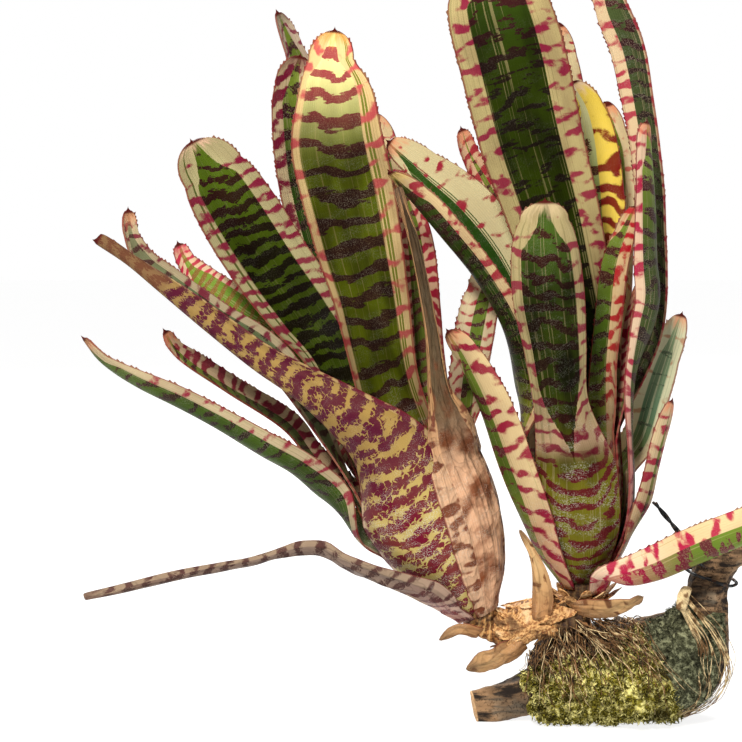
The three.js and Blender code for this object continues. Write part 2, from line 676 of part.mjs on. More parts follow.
addScrap({
  name: "dry_sheath_upright", inner: [0.1, 1, 0], colour: witheredTan,
  blade: [
    [-28.5, 51, -13, 4.5, 50], [-27.5, 61.5, -16, 5.5, 50], [-29, 73.5, -18, 4.8, 50],
    [-33, 84.5, -19, 3, 40], [-38.5, 94.5, -18, 1, 20],
  ],
});
addScrap({
  name: "dry_sheath_under", inner: [0, 0.3, 1], colour: witheredTan,
  blade: [
    [-14, 57, -10.2, 4, 30], [-6, 55.5, -16.2, 5, 34], [6, 56, -21.2, 5.5, 36], [15.5, 59.5, -24.2, 3.5, 30],
    [20.5, 62.5, -24.2, 1, 20],
  ],
});
addScrap({
  name: "dry_spike", inner: [0.2, 0.3, 1], colour: witheredGrey,
  blade: [
    [-58, 44, -10.6, 4.5, 40], [-64, 46, -11.6, 4.5, 40], [-70, 46, -12.6, 3.5, 36], [-77, 42, -11.6, 1, 20],
  ],
});
addScrap({
  name: "dry_stub", inner: [0.2, 0.5, 0.9], colour: witheredTan,
  blade: [
    [-36, 40.6, -8, 5, 40], [-45, 34.5, -10, 6.5, 44], [-54, 30.5, -11, 6.5, 46], [-64, 28, -11, 3.5, 40],
  ],
});

// The woody stems and the runner between them, with the knobs that the roots grow from

const sheathInset = leafThickness / 2 + stemGap;
const stemFoot = -8; // how far the stem goes on below the lowest leaf
const stemTop = 21;
const stemFootRadius = 6.5;
const stemTopRadius = 4.5;

function stemGeometry(plant) {
  const profile = [new THREE.Vector2(0, stemFoot), new THREE.Vector2(stemFootRadius, stemFoot)];
  for (let height = -footStep; height < stemTop; height += footStep) {
    const layer = Math.max(height / footStep, 0);
    profile.push(new THREE.Vector2(layerRadius(plant, layer, height) - sheathInset, height));
  }
  profile.push(new THREE.Vector2(stemTopRadius, stemTop), new THREE.Vector2(0, stemTop + footStep));
  const stem = new THREE.LatheGeometry(profile, 12);
  const upright = new THREE.Quaternion().setFromUnitVectors(new THREE.Vector3(0, 1, 0), plant.axis);
  return stem.applyQuaternion(upright).translate(plant.foot.x, plant.foot.y, plant.foot.z);
}

// Directions along, up and to the front at each point of a curve, carried on without twist.
function curveFrames(points, firstUp) {
  let up = firstUp.clone();
  return points.map((point, i) => {
    const before = points[Math.max(i - 1, 0)];
    const after = points[Math.min(i + 1, points.length - 1)];
    const along = after.clone().sub(before).normalize();
    up = up.clone().addScaledVector(along, -up.dot(along)).normalize();
    return { along, up, front: along.clone().cross(up) };
  });
}

const skyward = new THREE.Vector3(0, 0, 1);

// A closed round bar through the points. Its radius may change with the place and the angle.
function barRings(points, sides, radiusAt, firstUp = skyward) {
  const frames = curveFrames(points, firstUp);
  return points.map((point, i) => {
    const ring = [];
    for (let k = 0; k < sides; k++) {
      const angle = (k / sides) * 2 * Math.PI;
      const radius = radiusAt(i, angle);
      ring.push(point.clone()
        .addScaledVector(frames[i].up, Math.cos(angle) * radius)
        .addScaledVector(frames[i].front, Math.sin(angle) * radius));
    }
    return ring;
  });
}

function barGeometry(rings) {
  const faces = new Faces();
  const sides = rings[0].length;
  const numbers = rings.map((ring) => ring.map((point) => faces.point(point)));
  for (let i = 0; i + 1 < rings.length; i++) {
    for (let k = 0; k < sides; k++) {
      const next = (k + 1) % sides;
      faces.quad(numbers[i][k], numbers[i][next], numbers[i + 1][next], numbers[i + 1][k]);
    }
  }
  const middle = (ring) => ring.reduce((sum, p) => sum.add(p), new THREE.Vector3()).divideScalar(sides);
  const first = faces.point(middle(rings[0]));
  const last = faces.point(middle(rings[rings.length - 1]));
  for (let k = 0; k < sides; k++) {
    const next = (k + 1) % sides;
    faces.triangle(first, numbers[0][next], numbers[0][k]);
    faces.triangle(last, numbers[rings.length - 1][k], numbers[rings.length - 1][next]);
  }
  return faces.geometry();
}

function bar(points, radius, sides) {
  return barGeometry(barRings(points, sides, () => radius));
}

// Places along a bar for which keys [across, up, y, radius] are given, with steps between them.
function keyedCurve(keys, steps) {
  const places = [];
  for (let n = 0; n <= (keys.length - 1) * steps; n++) places.push(n / steps);
  return places.map((u) => ({
    point: smoothVector(keys.map(([across, up, y]) => seen(across, up, y)), u),
    radius: smoothNumber(keys.map((key) => key[3]), u),
  }));
}

function knobblyBar(keys, steps, sides, roughness, seed) {
  const random = seeded(seed);
  const curve = keyedCurve(keys, steps);
  const bumps = curve.map(() => Array.from({ length: sides }, () => 1 + roughness * (random() - 0.5)));
  const radiusAt = (i, angle) => curve[i].radius * bumps[i][Math.round((angle / (2 * Math.PI)) * sides)];
  return barGeometry(barRings(curve.map((c) => c.point), sides, radiusAt));
}

const runner = knobblyBar([
  [-57, 50, 0, 7], [-47, 47.5, 0, 8], [-36, 51, -1, 9.5], [-25, 54, -1, 9.5], [-15, 54.5, 0, 8.5],
  [-6, 55, 0, 7],
], 2, 8, 0.16, 41);
const crown = knobblyBar([
  [-36, 47, -4, 3], [-26, 48, -6, 5], [-16, 50, -6, 5], [-9, 52, -5, 4],
], 2, 7, 0.3, 47);
const stems = [stemGeometry(leftPlant), stemGeometry(rightPlant)];
addPiece("rhizome", joined([runner, ...stems, crown]), rhizomeBrown, barkRoughness);

// Driftwood: a log with a sawn left end, a thick elbow and an arm that rises at the right

const woodSides = 12;
const woodSteps = 2;
const woodKeys = [
  [-61, 10, 0, 8], [-45.6, 13, 1, 9.3], [-26.4, 18.2, 2, 13.2], [-4.8, 23.5, 3, 18.5],
  [14.4, 25.5, 4, 23.5], [29.5, 29.2, 5, 26], [41.8, 41.2, 5, 21.5], [49.4, 55.7, 4, 13],
  [51.8, 68.6, 3, 9.8], [58.6, 82.6, 2, 10.5], [68.2, 88.8, 2, 12], [80.6, 90.7, 3, 11.3],
];
const woodCurve = keyedCurve(woodKeys, woodSteps);

// Ridges along the grain, with a low knob under the sawn end that the log stands on.
function woodRadius(i, angle) {
  const place = i / woodSteps;
  const ridges = 0.05 * Math.sin(3 * angle + 0.9 * place) + 0.04 * Math.sin(5 * angle - 1.7 * place);
  const knots = 0.05 * Math.sin(2.3 * place + 1.1) * Math.cos(2 * angle + 0.6);
  const knob = 0.5 * Math.exp(-((place - 0.45) ** 2) / 0.2) * Math.max(0, -Math.cos(angle)) ** 3;
  return woodCurve[i].radius * (1 + ridges + knots + knob);
}

const woodRings = barRings(woodCurve.map((c) => c.point), woodSides, woodRadius);

// The point over the wood's faces at a place along it (in keys), an angle round it (0 is up, 90 is the
// front) and a height above the surface.
function woodPoint(place, degrees, height) {
  const along = Math.min(Math.max(place * woodSteps, 0), woodRings.length - 1.001);
  const around = (((degrees / 360) % 1) + 1) % 1 * woodSides;
  const i = Math.floor(along);
  const k = Math.floor(around);
  const next = (k + 1) % woodSides;
  const [a, b, c, d] = [woodRings[i][k], woodRings[i][next], woodRings[i + 1][k], woodRings[i + 1][next]];
  const s = along - i;
  const t = around - k;
  const nearer = t >= s;
  const roundStep = nearer ? b.clone().sub(a) : d.clone().sub(c);
  const alongStep = nearer ? d.clone().sub(b) : c.clone().sub(a);
  const low = a.clone().lerp(b, t);
  const high = c.clone().lerp(d, t);
  const left = a.clone().lerp(c, s);
  const right = b.clone().lerp(d, s);
  const normal = right.sub(left).cross(high.sub(low)).normalize();
  const point = a.clone().addScaledVector(roundStep, t).addScaledVector(alongStep, s);
  point.addScaledVector(normal, height);
  point.z = Math.max(point.z, restClearance);
  return point;
}

const backStub = knobblyBar([
  [-27, 17, 4, 8.5], [-27, 14, 18, 8], [-25, 9, 32, 7.5], [-24, 6, 44, 7.5],
], 1, 8, 0.12, 53);
const brokenStub = knobblyBar([
  [60, 84, 2, 5], [57, 92, 6, 4.5], [55.5, 99, 9, 3.4],
], 1, 6, 0.2, 59);
const belowRest = new THREE.BoxGeometry(400, 400, 60).translate(0, 0, -30);
const wholeWood = [barGeometry(woodRings), backStub, brokenStub].map(solidOf).reduce((a, b) => a.add(b));
const standingWood = largestBody(wholeWood.subtract(solidOf(belowRest)));
addPiece("driftwood", geometryOf(standingWood), woodBrown, barkRoughness);

// Moss and root mats: a cushion over a stretch of the wood, with a pointed tuft on each of its faces. The
// thickness is one number, or a table against the place along the wood. The cushion is built down into the
// wood, and the wood with its gap is then cut out of it.
const woodWithGap = solidOf(barGeometry(
  barRings(woodCurve.map((c) => c.point), woodSides, (i, angle) => woodRadius(i, angle) + mossGap),
));
const cushionRoot = -1.2; // height of the uncut underside over the wood's surface
const cushionEdge = 0.9; // thickness of the cushion at its edge

const depthAt = (thickness, place) => (Array.isArray(thickness) ? tableValue(thickness, place) : thickness);

function cushion({ from, to, top, bottom, rows, columns, thickness, tuft, seed }) {
  const random = seeded(seed);
  const faces = new Faces();
  const upper = [];
  const lower = [];
  for (let i = 0; i <= rows; i++) {
    upper.push([]);
    lower.push([]);
    for (let k = 0; k <= columns; k++) {
      const s = i / rows;
      const t = k / columns;
      const edge = Math.min(Math.sin(Math.PI * s), Math.sin(Math.PI * t));
      const place = mix(from, to, s) + (random() - 0.5) * 0.5 * ((to - from) / rows);
      const angle = mix(top, bottom, t) + (random() - 0.5) * 0.5 * ((bottom - top) / columns);
      const swell = Math.sqrt(Math.max(edge, 0)) * (0.7 + 0.45 * random());
      const rise = cushionEdge + depthAt(thickness, place) * swell;
      upper[i].push(faces.point(woodPoint(place, angle, mossGap + rise)));
      lower[i].push(faces.point(woodPoint(mix(from, to, s), mix(top, bottom, t), cushionRoot)));
    }
  }
  for (let i = 0; i < rows; i++) {
    for (let k = 0; k < columns; k++) {
      const corners = [upper[i][k], upper[i][k + 1], upper[i + 1][k + 1], upper[i + 1][k]];
      const place = mix(from, to, (i + 0.2 + 0.6 * random()) / rows);
      const angle = mix(top, bottom, (k + 0.2 + 0.6 * random()) / columns);
      const edge = Math.min(Math.sin(Math.PI * (i + 0.5) / rows), Math.sin(Math.PI * (k + 0.5) / columns));
      const rise = cushionEdge + depthAt(thickness, place) * Math.sqrt(edge) + tuft * (0.4 + 0.6 * random());
      const tip = faces.point(woodPoint(place, angle, mossGap + rise));
      for (let n = 0; n < 4; n++) faces.triangle(corners[n], corners[(n + 1) % 4], tip);
      faces.quad(lower[i][k], lower[i + 1][k], lower[i + 1][k + 1], lower[i][k + 1]);
    }
  }
  const wall = (a, b, c, d) => faces.quad(upper[c][d], upper[a][b], lower[a][b], lower[c][d]);
  for (let k = 0; k < columns; k++) {
    wall(0, k, 0, k + 1);
    wall(rows, k + 1, rows, k);
  }
  for (let i = 0; i < rows; i++) {
    wall(i, columns, i + 1, columns);
    wall(i + 1, 0, i, 0);
  }
  return geometryOf(largestBody(solidOf(faces.geometry()).subtract(woodWithGap)));
}

addPiece("moss_bright", cushion({
  from: 1.75, to: 4.5, top: 36, bottom: 140, rows: 11, columns: 9, thickness: 5.5, tuft: 3, seed: 61,
}), mossGreen, 1);
addPiece("moss_grey", cushion({
  from: 5.1, to: 6.9, top: 32, bottom: 120, rows: 8, columns: 6, thickness: 3.5, tuft: 2.5, seed: 67,
}), mossGrey, 1);

// Roots: a mat in front of the crown, with wiry strands that hang from it over the moss

const strandRadius = 0.6;

function strand(start, places) {
  const points = [start, ...places.map(([place, angle, height]) => woodPoint(place, angle, height))];
  const smooth = [];
  const steps = 2;
  for (let n = 0; n <= (points.length - 1) * steps; n++) smooth.push(smoothVector(points, n / steps));
  return bar(smooth, strandRadius, 4);
}

const matDepths = [[1.8, 5], [2.2, 10.2], [2.7, 7], [3.2, 3.4], [3.7, 4.5], [4.2, 5.5], [4.7, 3]];
const rootPieces = [cushion({
  from: 1.75, to: 4.5, top: -54, bottom: 24, rows: 11, columns: 5, thickness: matDepths, tuft: 1.2, seed: 71,
})];
const strandRandom = seeded(73);
const strandCount = 12;
for (let n = 0; n < strandCount; n++) {
  const share = n / (strandCount - 1);
  const place = mix(2.05, 4.3, share);
  const sway = (strandRandom() - 0.5) * 0.9;
  const reach = mix(88, 126, strandRandom());
  rootPieces.push(strand(woodPoint(place, 14, 0.6 * depthAt(matDepths, place) + 1.4), [
    [place + sway * 0.1, 38, 12],
    [place + sway * 0.3, 64, 12.5],
    [place + sway * 0.6, mix(64, reach, 0.5), 12.5],
    [place + sway, reach, 11.5],
  ]));
}
addPiece("roots", joined(rootPieces), rootTan, dryRoughness);

const elbowPieces = [knobblyBar([[42, 66, -11, 2.4], [40, 62, -16, 2.8], [39, 57, -21, 2.2]], 1, 6, 0.2, 79)];
const elbowStrands = 6;
for (let n = 0; n < elbowStrands; n++) {
  const share = n / (elbowStrands - 1);
  elbowPieces.push(strand(seen(mix(42, 39, share), mix(65, 58, share), mix(-12, -20, share)), [
    [6.7 - 0.2 * share, mix(125, 105, share), 7],
    [mix(6.2, 5.9, share), mix(150, 124, share), mix(4, 9, share)],
    [mix(5.6, 5.2, share), mix(160, 136, share), mix(4, 7, share)],
    [mix(5.2, 4.9, share), mix(152, 146, share), 3],
  ]));
}
addPiece("roots_elbow", joined(elbowPieces), rootTan, dryRoughness);

// Tie wire: a loop and a half round the arm, with a twisted tail that rises behind the leaves

const wireRadius = 0.75;
const wireLift = 2.5; // from the wood to the middle of the wire
const loopPlace = 8.15;
const loopTurns = 1.45;
const loopPitch = 0.28; // how far one turn goes on along the wood, in keys
const loopStart = 250;
const loopSteps = 17;
const loop = [];
for (let n = 0; n <= loopSteps; n++) {
  const turn = (n / loopSteps) * loopTurns;
  loop.push(woodPoint(loopPlace + loopPitch * turn, loopStart + 360 * turn, wireLift));
}
const tailEnd = seen(26, 108, 12);
const tailSteps = 8;
const tail = [];
for (let n = 0; n <= tailSteps; n++) tail.push(loop[0].clone().lerp(tailEnd, n / tailSteps));
const twistRadius = 1.15;
const twistTurn = 1.9;
const coil = tail.map((point, n) => {
  const sideways = new THREE.Vector3(Math.cos(n * twistTurn), Math.sin(n * twistTurn), 0);
  return point.clone().addScaledVector(sideways, twistRadius);
});
addPiece("tie_wire", joined([
  bar(loop, wireRadius, 4), bar(tail, wireRadius, 4), bar(coil, wireRadius, 4),
]), wireDark, 0.5, 0.8);

export default group;
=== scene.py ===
# %% [markdown]
# A banded neoregelia on driftwood. Two rosettes of strap leaves grow from one short runner that is rooted
# on a mossy piece of wood. The CAD frame gives every leaf its place; this lesson grows finer leaves on
# the same lines, and paints them with bars, stripes and scurf made by shader nodes alone.

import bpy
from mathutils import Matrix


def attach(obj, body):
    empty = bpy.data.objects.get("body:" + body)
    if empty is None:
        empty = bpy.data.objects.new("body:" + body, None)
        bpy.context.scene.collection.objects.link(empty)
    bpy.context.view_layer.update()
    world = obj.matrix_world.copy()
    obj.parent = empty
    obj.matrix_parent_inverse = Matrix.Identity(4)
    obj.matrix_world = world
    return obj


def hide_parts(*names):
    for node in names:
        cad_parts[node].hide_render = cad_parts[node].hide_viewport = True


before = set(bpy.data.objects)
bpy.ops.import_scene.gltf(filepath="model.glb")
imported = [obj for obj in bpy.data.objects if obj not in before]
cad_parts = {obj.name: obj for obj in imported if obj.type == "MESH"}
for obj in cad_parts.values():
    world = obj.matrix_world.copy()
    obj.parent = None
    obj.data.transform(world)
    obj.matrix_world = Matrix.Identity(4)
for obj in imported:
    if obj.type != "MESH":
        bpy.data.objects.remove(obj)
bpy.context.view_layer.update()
print("CAD nodes:", len(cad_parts))

# %% [markdown]
# Everything is worked out in millimetres and in the upright plane in which the plant was measured. A
# point is named by how far across and how high it looks from the front, and by its depth. One helper
# turns that into a place, and another turns a place into Blender's metres.

# %% Millimetres, sight lines and places
import math

import bmesh
import bpy
from mathutils import Matrix, Vector, noise

MM = 0.001
ELBOW_FLAT = Vector((22, 7, 0))  # the frame's origin, in the plane of measure
EYE_DISTANCE = 850
EYE_ELEVATION = math.radians(6)
SIGHT_TARGET = Vector((-110, 0, 171))
SIGHT_FORWARD = Vector((0, math.cos(EYE_ELEVATION), -math.sin(EYE_ELEVATION)))
SIGHT_RISE = Vector((0, math.sin(EYE_ELEVATION), math.cos(EYE_ELEVATION)))
EYE = SIGHT_TARGET - SIGHT_FORWARD * EYE_DISTANCE


def seen(across, up, depth):
    """The point on the line of sight through (across, up) that lies at that depth."""
    ray = SIGHT_FORWARD * EYE_DISTANCE + SIGHT_RISE * (up - SIGHT_TARGET.z)
    ray.x += across - SIGHT_TARGET.x
    return EYE + ray * ((depth - EYE.y) / ray.y)


def placed(point):
    """A point of the measuring plane, in metres from the frame's origin."""
    return (point - ELBOW_FLAT) * MM


print("the eye stands at", placed(EYE))

# %% [markdown]
# Plants have no straight lines, so every measured row of numbers is read through a smooth curve that
# passes through each of its keys. A function does this here, because it serves widths and angles as well
# as places. Chance comes from a small seeded stream, so that every run grows the same plant.

# %% Smooth curves and seeded draws
STREAM_FACTOR = 16807
STREAM_SIZE = 2147483647


def mix(low, high, share):
    return low + (high - low) * share


def held_in(value, low, high):
    return min(max(value, low), high)


def smooth(keys, u):
    """The smooth curve through a list of numbers or vectors, at u from 0 to its last place."""
    last = len(keys) - 1
    i = min(int(u), last - 1)
    t = u - i
    b = keys[i]
    c = keys[i + 1]
    a = keys[i - 1] if i > 0 else b * 2 - c
    d = keys[i + 2] if i + 2 <= last else c * 2 - b
    square = t * t
    cube = square * t
    slope_in = (c - a) * 0.5
    slope_out = (d - b) * 0.5
    start = b * (2 * cube - 3 * square + 1) + slope_in * (cube - 2 * square + t)
    return start + c * (3 * square - 2 * cube) + slope_out * (cube - square)


def table_value(table, place):
    """Straight-line value of a table of (place, value) pairs."""
    if place <= table[0][0]:
        return table[0][1]
    for (low_at, low), (high_at, high) in zip(table, table[1:]):
        if place <= high_at:
            return mix(low, high, (place - low_at) / (high_at - low_at))
    return table[-1][1]


def seeded(seed):
    """A repeatable stream of numbers from 0 to 1."""
    state = seed
    while True:
        state = state * STREAM_FACTOR % STREAM_SIZE
        yield state / STREAM_SIZE


print("halfway through 0, 1, 4:", smooth([0, 1, 4], 1.5))

# %% [markdown]
# A finished piece sits at the origin with its place in its mesh. It rides on the frame's one body, and
# the CAD node that it stands for is hidden.

# %% Helpers for every finished piece
triangle_total = 0


def mesh_of(name, bm):
    """Hands a bmesh over to a new mesh."""
    mesh = bpy.data.meshes.new(name)
    bm.to_mesh(mesh)
    bm.free()
    return mesh


def add_object(name, data):
    made = bpy.data.objects.new(name, data)
    bpy.context.scene.collection.objects.link(made)
    return made


def add_piece(name, bm, material, slot, node):
    """Makes the object of a bmesh that was modelled in millimetres, and ties it to the frame."""
    global triangle_total
    for vertex in bm.verts:
        vertex.co = placed(vertex.co)
    for face in bm.faces:
        face.smooth = True
    mesh = mesh_of(name, bm)
    mesh.materials.append(material)
    made = add_object(name, mesh)
    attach(made, "root")
    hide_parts(node)
    mesh.calc_loop_triangles()
    triangle_total += len(mesh.loop_triangles)
    print(name, len(mesh.loop_triangles), "triangles")


# %% [markdown]
# A shader is easiest to read as sums and products. The class below wraps an output socket, and its
# operators add the Math nodes of an expression.

# %% Shader maths as expressions


class Signal:
    """The output of a node, on which numbers can be added, multiplied and so on."""

    def __init__(self, finish, socket):
        self.finish = finish
        self.socket = socket

    def math(self, operation, first, second=0.0):
        return self.finish.node("ShaderNodeMath", {"operation": operation}, {0: first, 1: second})

    def __add__(self, other):
        return self.math("ADD", self, other)

    def __sub__(self, other):
        return self.math("SUBTRACT", self, other)

    def __rsub__(self, other):
        return self.math("SUBTRACT", other, self)

    def __mul__(self, other):
        return self.math("MULTIPLY", self, other)

    def __truediv__(self, other):
        return self.math("DIVIDE", self, other)

    __radd__ = __add__
    __rmul__ = __mul__

    def __abs__(self):
        return self.math("ABSOLUTE", self)

    def sine(self):
        return self.math("SINE", self)

    def wave(self, length):
        """Swings between 0 and 1, once in every length."""
        return (self * (2 * math.pi / length)).sine() * 0.5 + 0.5

    def greatest(self, other):
        return self.math("MAXIMUM", self, other)

    def rise(self, start, end):
        """Goes softly from 0 to 1 while this value goes from start to end."""
        sockets = {"Value": self, "From Min": start, "From Max": end}
        return self.finish.node("ShaderNodeMapRange", {"interpolation_type": "SMOOTHSTEP"}, sockets)


# %% [markdown]
# The second class is a material in the making. Its node method adds any kind of node, with the settings
# first and then the values or links of its sockets, so that a finish reads as a few lines of mixes.

# %% A finish
OBJECT_PLACE = 3  # the Texture Coordinate node's output that is called Object
MIX_FROM, MIX_TO, MIX_RESULT = 6, 7, 2  # the Mix node's sockets for colours


class Finish:
    """A material in the making."""

    def __init__(self, name):
        self.material = bpy.data.materials.new(name)
        self.material.use_nodes = True
        self.tree = self.material.node_tree
        self.shader = self.tree.nodes["Principled BSDF"]

    def feed(self, socket, value):
        if isinstance(value, Signal):
            self.tree.links.new(value.socket, socket)
        else:
            socket.default_value = value

    def node(self, kind, settings=None, sockets=None, output=0):
        made = self.tree.nodes.new(kind)
        for key, value in (settings or {}).items():
            setattr(made, key, value)
        for key, value in (sockets or {}).items():
            self.feed(made.inputs[key], value)
        return Signal(self, made.outputs[output])

    def place(self):
        """A point's own place in the object, in metres."""
        return self.node("ShaderNodeTexCoord", output=OBJECT_PLACE)

    def vector(self, x, y, z):
        return self.node("ShaderNodeCombineXYZ", None, {"X": x, "Y": y, "Z": z})

    def cloud(self, vector, detail=2.0, scale=1.0):
        """Soft noise round 0.5."""
        return self.node("ShaderNodeTexNoise", None, {"Vector": vector, "Scale": scale, "Detail": detail})

    def colour(self, low, high, share):
        """The colour that goes from low to high with share."""
        sockets = {0: share, MIX_FROM: low, MIX_TO: high}
        return self.node("ShaderNodeMix", {"data_type": "RGBA"}, sockets, MIX_RESULT)

    def close(self, base, roughness, height, depth, **constants):
        """Feeds the shader. The height, from 0 to 1, stands depth metres proud."""
        bump = self.node("ShaderNodeBump", None, {"Height": height, "Strength": 1.0, "Distance": depth})
        self.feed(self.shader.inputs["Base Color"], base)
        self.feed(self.shader.inputs["Roughness"], roughness)
        self.feed(self.shader.inputs["Normal"], bump)
        for key, value in constants.items():
            self.feed(self.shader.inputs[key.replace("_", " ")], value)
        return self.material


def grained(name, *grains):
    """A new finish, and noise at a point's own place for each (detail, scale)."""
    paint = Finish(name)
    place = paint.place()
    return [paint] + [paint.cloud(place, detail, scale) for detail, scale in grains]


def tone(red, green, blue):
    """A colour as a screen shows it, from 0 to 255, turned into the linear one that a shader takes."""
    parts = [c / 255 for c in (red, green, blue)]
    linear = [c / 12.92 if c <= 0.04045 else ((c + 0.055) / 1.055) ** 2.4 for c in parts]
    return (*linear, 1.0)


print("a mid grey is", round(tone(128, 128, 128)[0], 3), "in linear light")

# %% [markdown]
# A neoregelia leaf is a green strap with a cream stripe down each margin. Dark bars cross both, nearly
# black on the green and crimson on the cream, and they break up, slant and bow. Silvery scurf lies on the
# low part. All leaves share the plain look below, and each says only what it has of its own.

# %% The plain look of a leaf
LOOK_COLOURS = ("centre", "foot", "crest", "margin", "margin_foot", "bar", "foot_bar", "margin_bar", "tip")

# A colour is its red, green and blue, from 0 to 255. Across the leaf, -1 is one margin and 1 the other.
plain_look = dict(
    centre=(96, 122, 40),
    foot=(150, 156, 66),
    crest=(124, 146, 52),
    margin=(228, 208, 160),
    margin_foot=(196, 160, 116),
    bar=(58, 28, 30),
    foot_bar=(112, 34, 48),
    margin_bar=(178, 44, 72),
    tip=(214, 130, 96),
    stripe=(-0.56, 0.56),  # where the green starts and ends across the leaf
    spacing=8.5,  # mm from one bar to the next
    slant=0.25,  # spacings that a bar falls from the middle to the margin at 1
    bow=0.15,  # spacings that both ends of a bar fall below its middle
    foot_bow=0.0,  # what is added to that on the sheath; below 0 the bars smile
    regular=0.5,  # how much of the rhythm is left, from 0 to 1
    blob=(10, 3.4),  # mm across and along of the patches that break the rhythm
    cover=0.42,  # share of the green that bars cover, about
    margin_cover=0.4,
    clear=0,  # mm at the far end that have hardly any bars
    specks=0.3,  # pale grains in the bars
    foot_span=45,  # mm that the foot's colours reach up the blade
    cells=0.3,  # how strongly the bars break up into cells
    sway=3.4,  # how far the bars wander
    soft=0.05,  # width of a bar's blurred edge
    creased=0,  # depth of the creases, 1 on dead leaf
    crest_span=70,  # mm at the far end over which the colour turns to the crest's
    shade=0.45,  # share of painted shade, a darkness mixed into the leaf's colour
    glow=0.2,  # how far the far end stays out of that painted shade and looks lit
    foot_glow=0.3,  # the same for the sheath
    hard=1,  # 0 on dead leaf, which has lost its dark point
    pins=(),  # places across the leaf of thin lines in the centre's colour
    throat=0,  # mm over which the green narrows to a point where the blade meets the sheath
    lines=0.25,  # strength of the thin pale lines along the green
    margin_lines=0.3,
    scurf=0.4,
    tip_length=12,
    dry=0,  # mm of dead brown end
)
print("a leaf's look has", len(plain_look), "values")

# %% [markdown]
# The paint follows the leaf, so it reads the leaf's own map: across the strap, and along it. Noise that
# is drawn out along that map gives grains that run with the leaf and bend when it bends.

# %% Where on the leaf a point lies
MAP_LENGTH = 400  # length of leaf, in mm, that the map's height of 1 stands for


class LeafPaint(Finish):
    """The finish of one leaf, with the signals that say where on it a point lies."""

    def __init__(self, name, look, length, sheath, half, seed):
        super().__init__(name)
        self.look = {**plain_look, **look}
        for key in LOOK_COLOURS:
            self.look[key] = tone(*self.look[key])
        self.length = length
        self.sheath = sheath
        self.seed = seed
        place = self.node("ShaderNodeUVMap", {"uv_map": "leaf_map"})
        share = self.node("ShaderNodeSeparateXYZ", None, {"Vector": place})
        self.along = Signal(self, share.socket.node.outputs["Y"]) * MAP_LENGTH
        self.across = share * 2 - 1
        self.width = self.across * half
        self.low = self.along.rise(sheath + self.look["foot_span"], sheath - 10)
        self.high = self.along.rise(length - self.look["crest_span"], length - 10)
        self.frays = self.grain(2.2, 1.1, 3.1, 3.0) - 0.5
        self.slow = self.grain(14, 34, 23.0).rise(0.35, 0.65)

    def grain(self, x_size, y_size, shift, detail=2.0):
        """Noise with grains about x_size mm across the leaf and y_size mm along it."""
        spot = self.vector(self.width / x_size, self.along / y_size, self.seed + shift)
        return self.cloud(spot, detail)


# %% [markdown]
# The bars are a sine along the leaf that noise pushes about, mixed with long flat patches of noise, and
# cut at a level. That gives marks that keep a rhythm but are never twice alike. Thin gaps between cells
# break them up.

# %% Bars and margins of a leaf


def leaf_bars(leaf):
    """How strong the bars are at a point if it lies on the green, and if it lies on a margin."""
    look = leaf.look
    sway = leaf.grain(26, 30, 0.0) - 0.5
    bow = leaf.low * look["foot_bow"] + look["bow"]
    turn = leaf.along / look["spacing"] + leaf.across * look["slant"]
    turn = turn + leaf.across * leaf.across * bow + sway * look["sway"]
    rhythm = turn.wave(1)
    clear_from = leaf.length - look["clear"]
    clear = leaf.along.rise(clear_from - 14, clear_from + 14) * 0.5
    bent = leaf.vector(leaf.width / 4.6 + leaf.frays * 0.9, leaf.along / 3.4 + leaf.frays * 0.9, leaf.seed)
    sockets = {"Vector": bent, "Scale": 1.0}
    cells = leaf.node("ShaderNodeTexVoronoi", {"feature": "DISTANCE_TO_EDGE"}, sockets)
    gaps = cells.rise(0.09, 0.02) * look["cells"]

    patches = (leaf.grain(*look["blob"], 7.3, 3.0) - 0.5) * 2.6 + 0.5
    level = rhythm * look["regular"] + patches * (1 - look["regular"]) + leaf.frays * 0.16 - clear
    cut = 0.5 + (0.5 - look["cover"]) * 0.8
    bars = (level - gaps * 0.35).rise(cut - look["soft"], cut + look["soft"])

    blotches = (leaf.grain(9, 5, 5.7, 1.0) - 0.5) * 2.4 + 0.5
    beat = look["regular"] * 0.9
    level = rhythm * beat + blotches * (1 - beat) + leaf.frays * 0.12 - clear
    cut = 0.5 + (0.5 - look["margin_cover"]) * 0.8
    return bars, (level - gaps * 0.2).rise(cut - 0.09, cut + 0.15)


def leaf_margin(leaf):
    """1 on the cream margins and 0 on the green between them."""
    look = leaf.look
    start, end = look["stripe"]
    spot = leaf.across + (leaf.grain(1.3, 70, 11.0) - 0.5) * 0.12
    spot = spot * (1 + leaf.along.rise(leaf.length - 26, leaf.length) * 2.6)
    if look["throat"]:
        spot = spot / (leaf.along.rise(leaf.sheath + 8, leaf.sheath + look["throat"] + 12) * 0.96 + 0.04)
    margin = spot.rise(start + 0.02, start - 0.02).greatest(spot.rise(end - 0.02, end + 0.02))
    if look["throat"]:
        margin = margin * leaf.along.rise(leaf.sheath + 3, leaf.sheath + 17)
    return margin


# %% [markdown]
# The colours are laid over each other as in real paint, and the green and the cream come first. Both turn
# with the height on the leaf, and thin pale lines run along them.

# %% The bare colours of a leaf


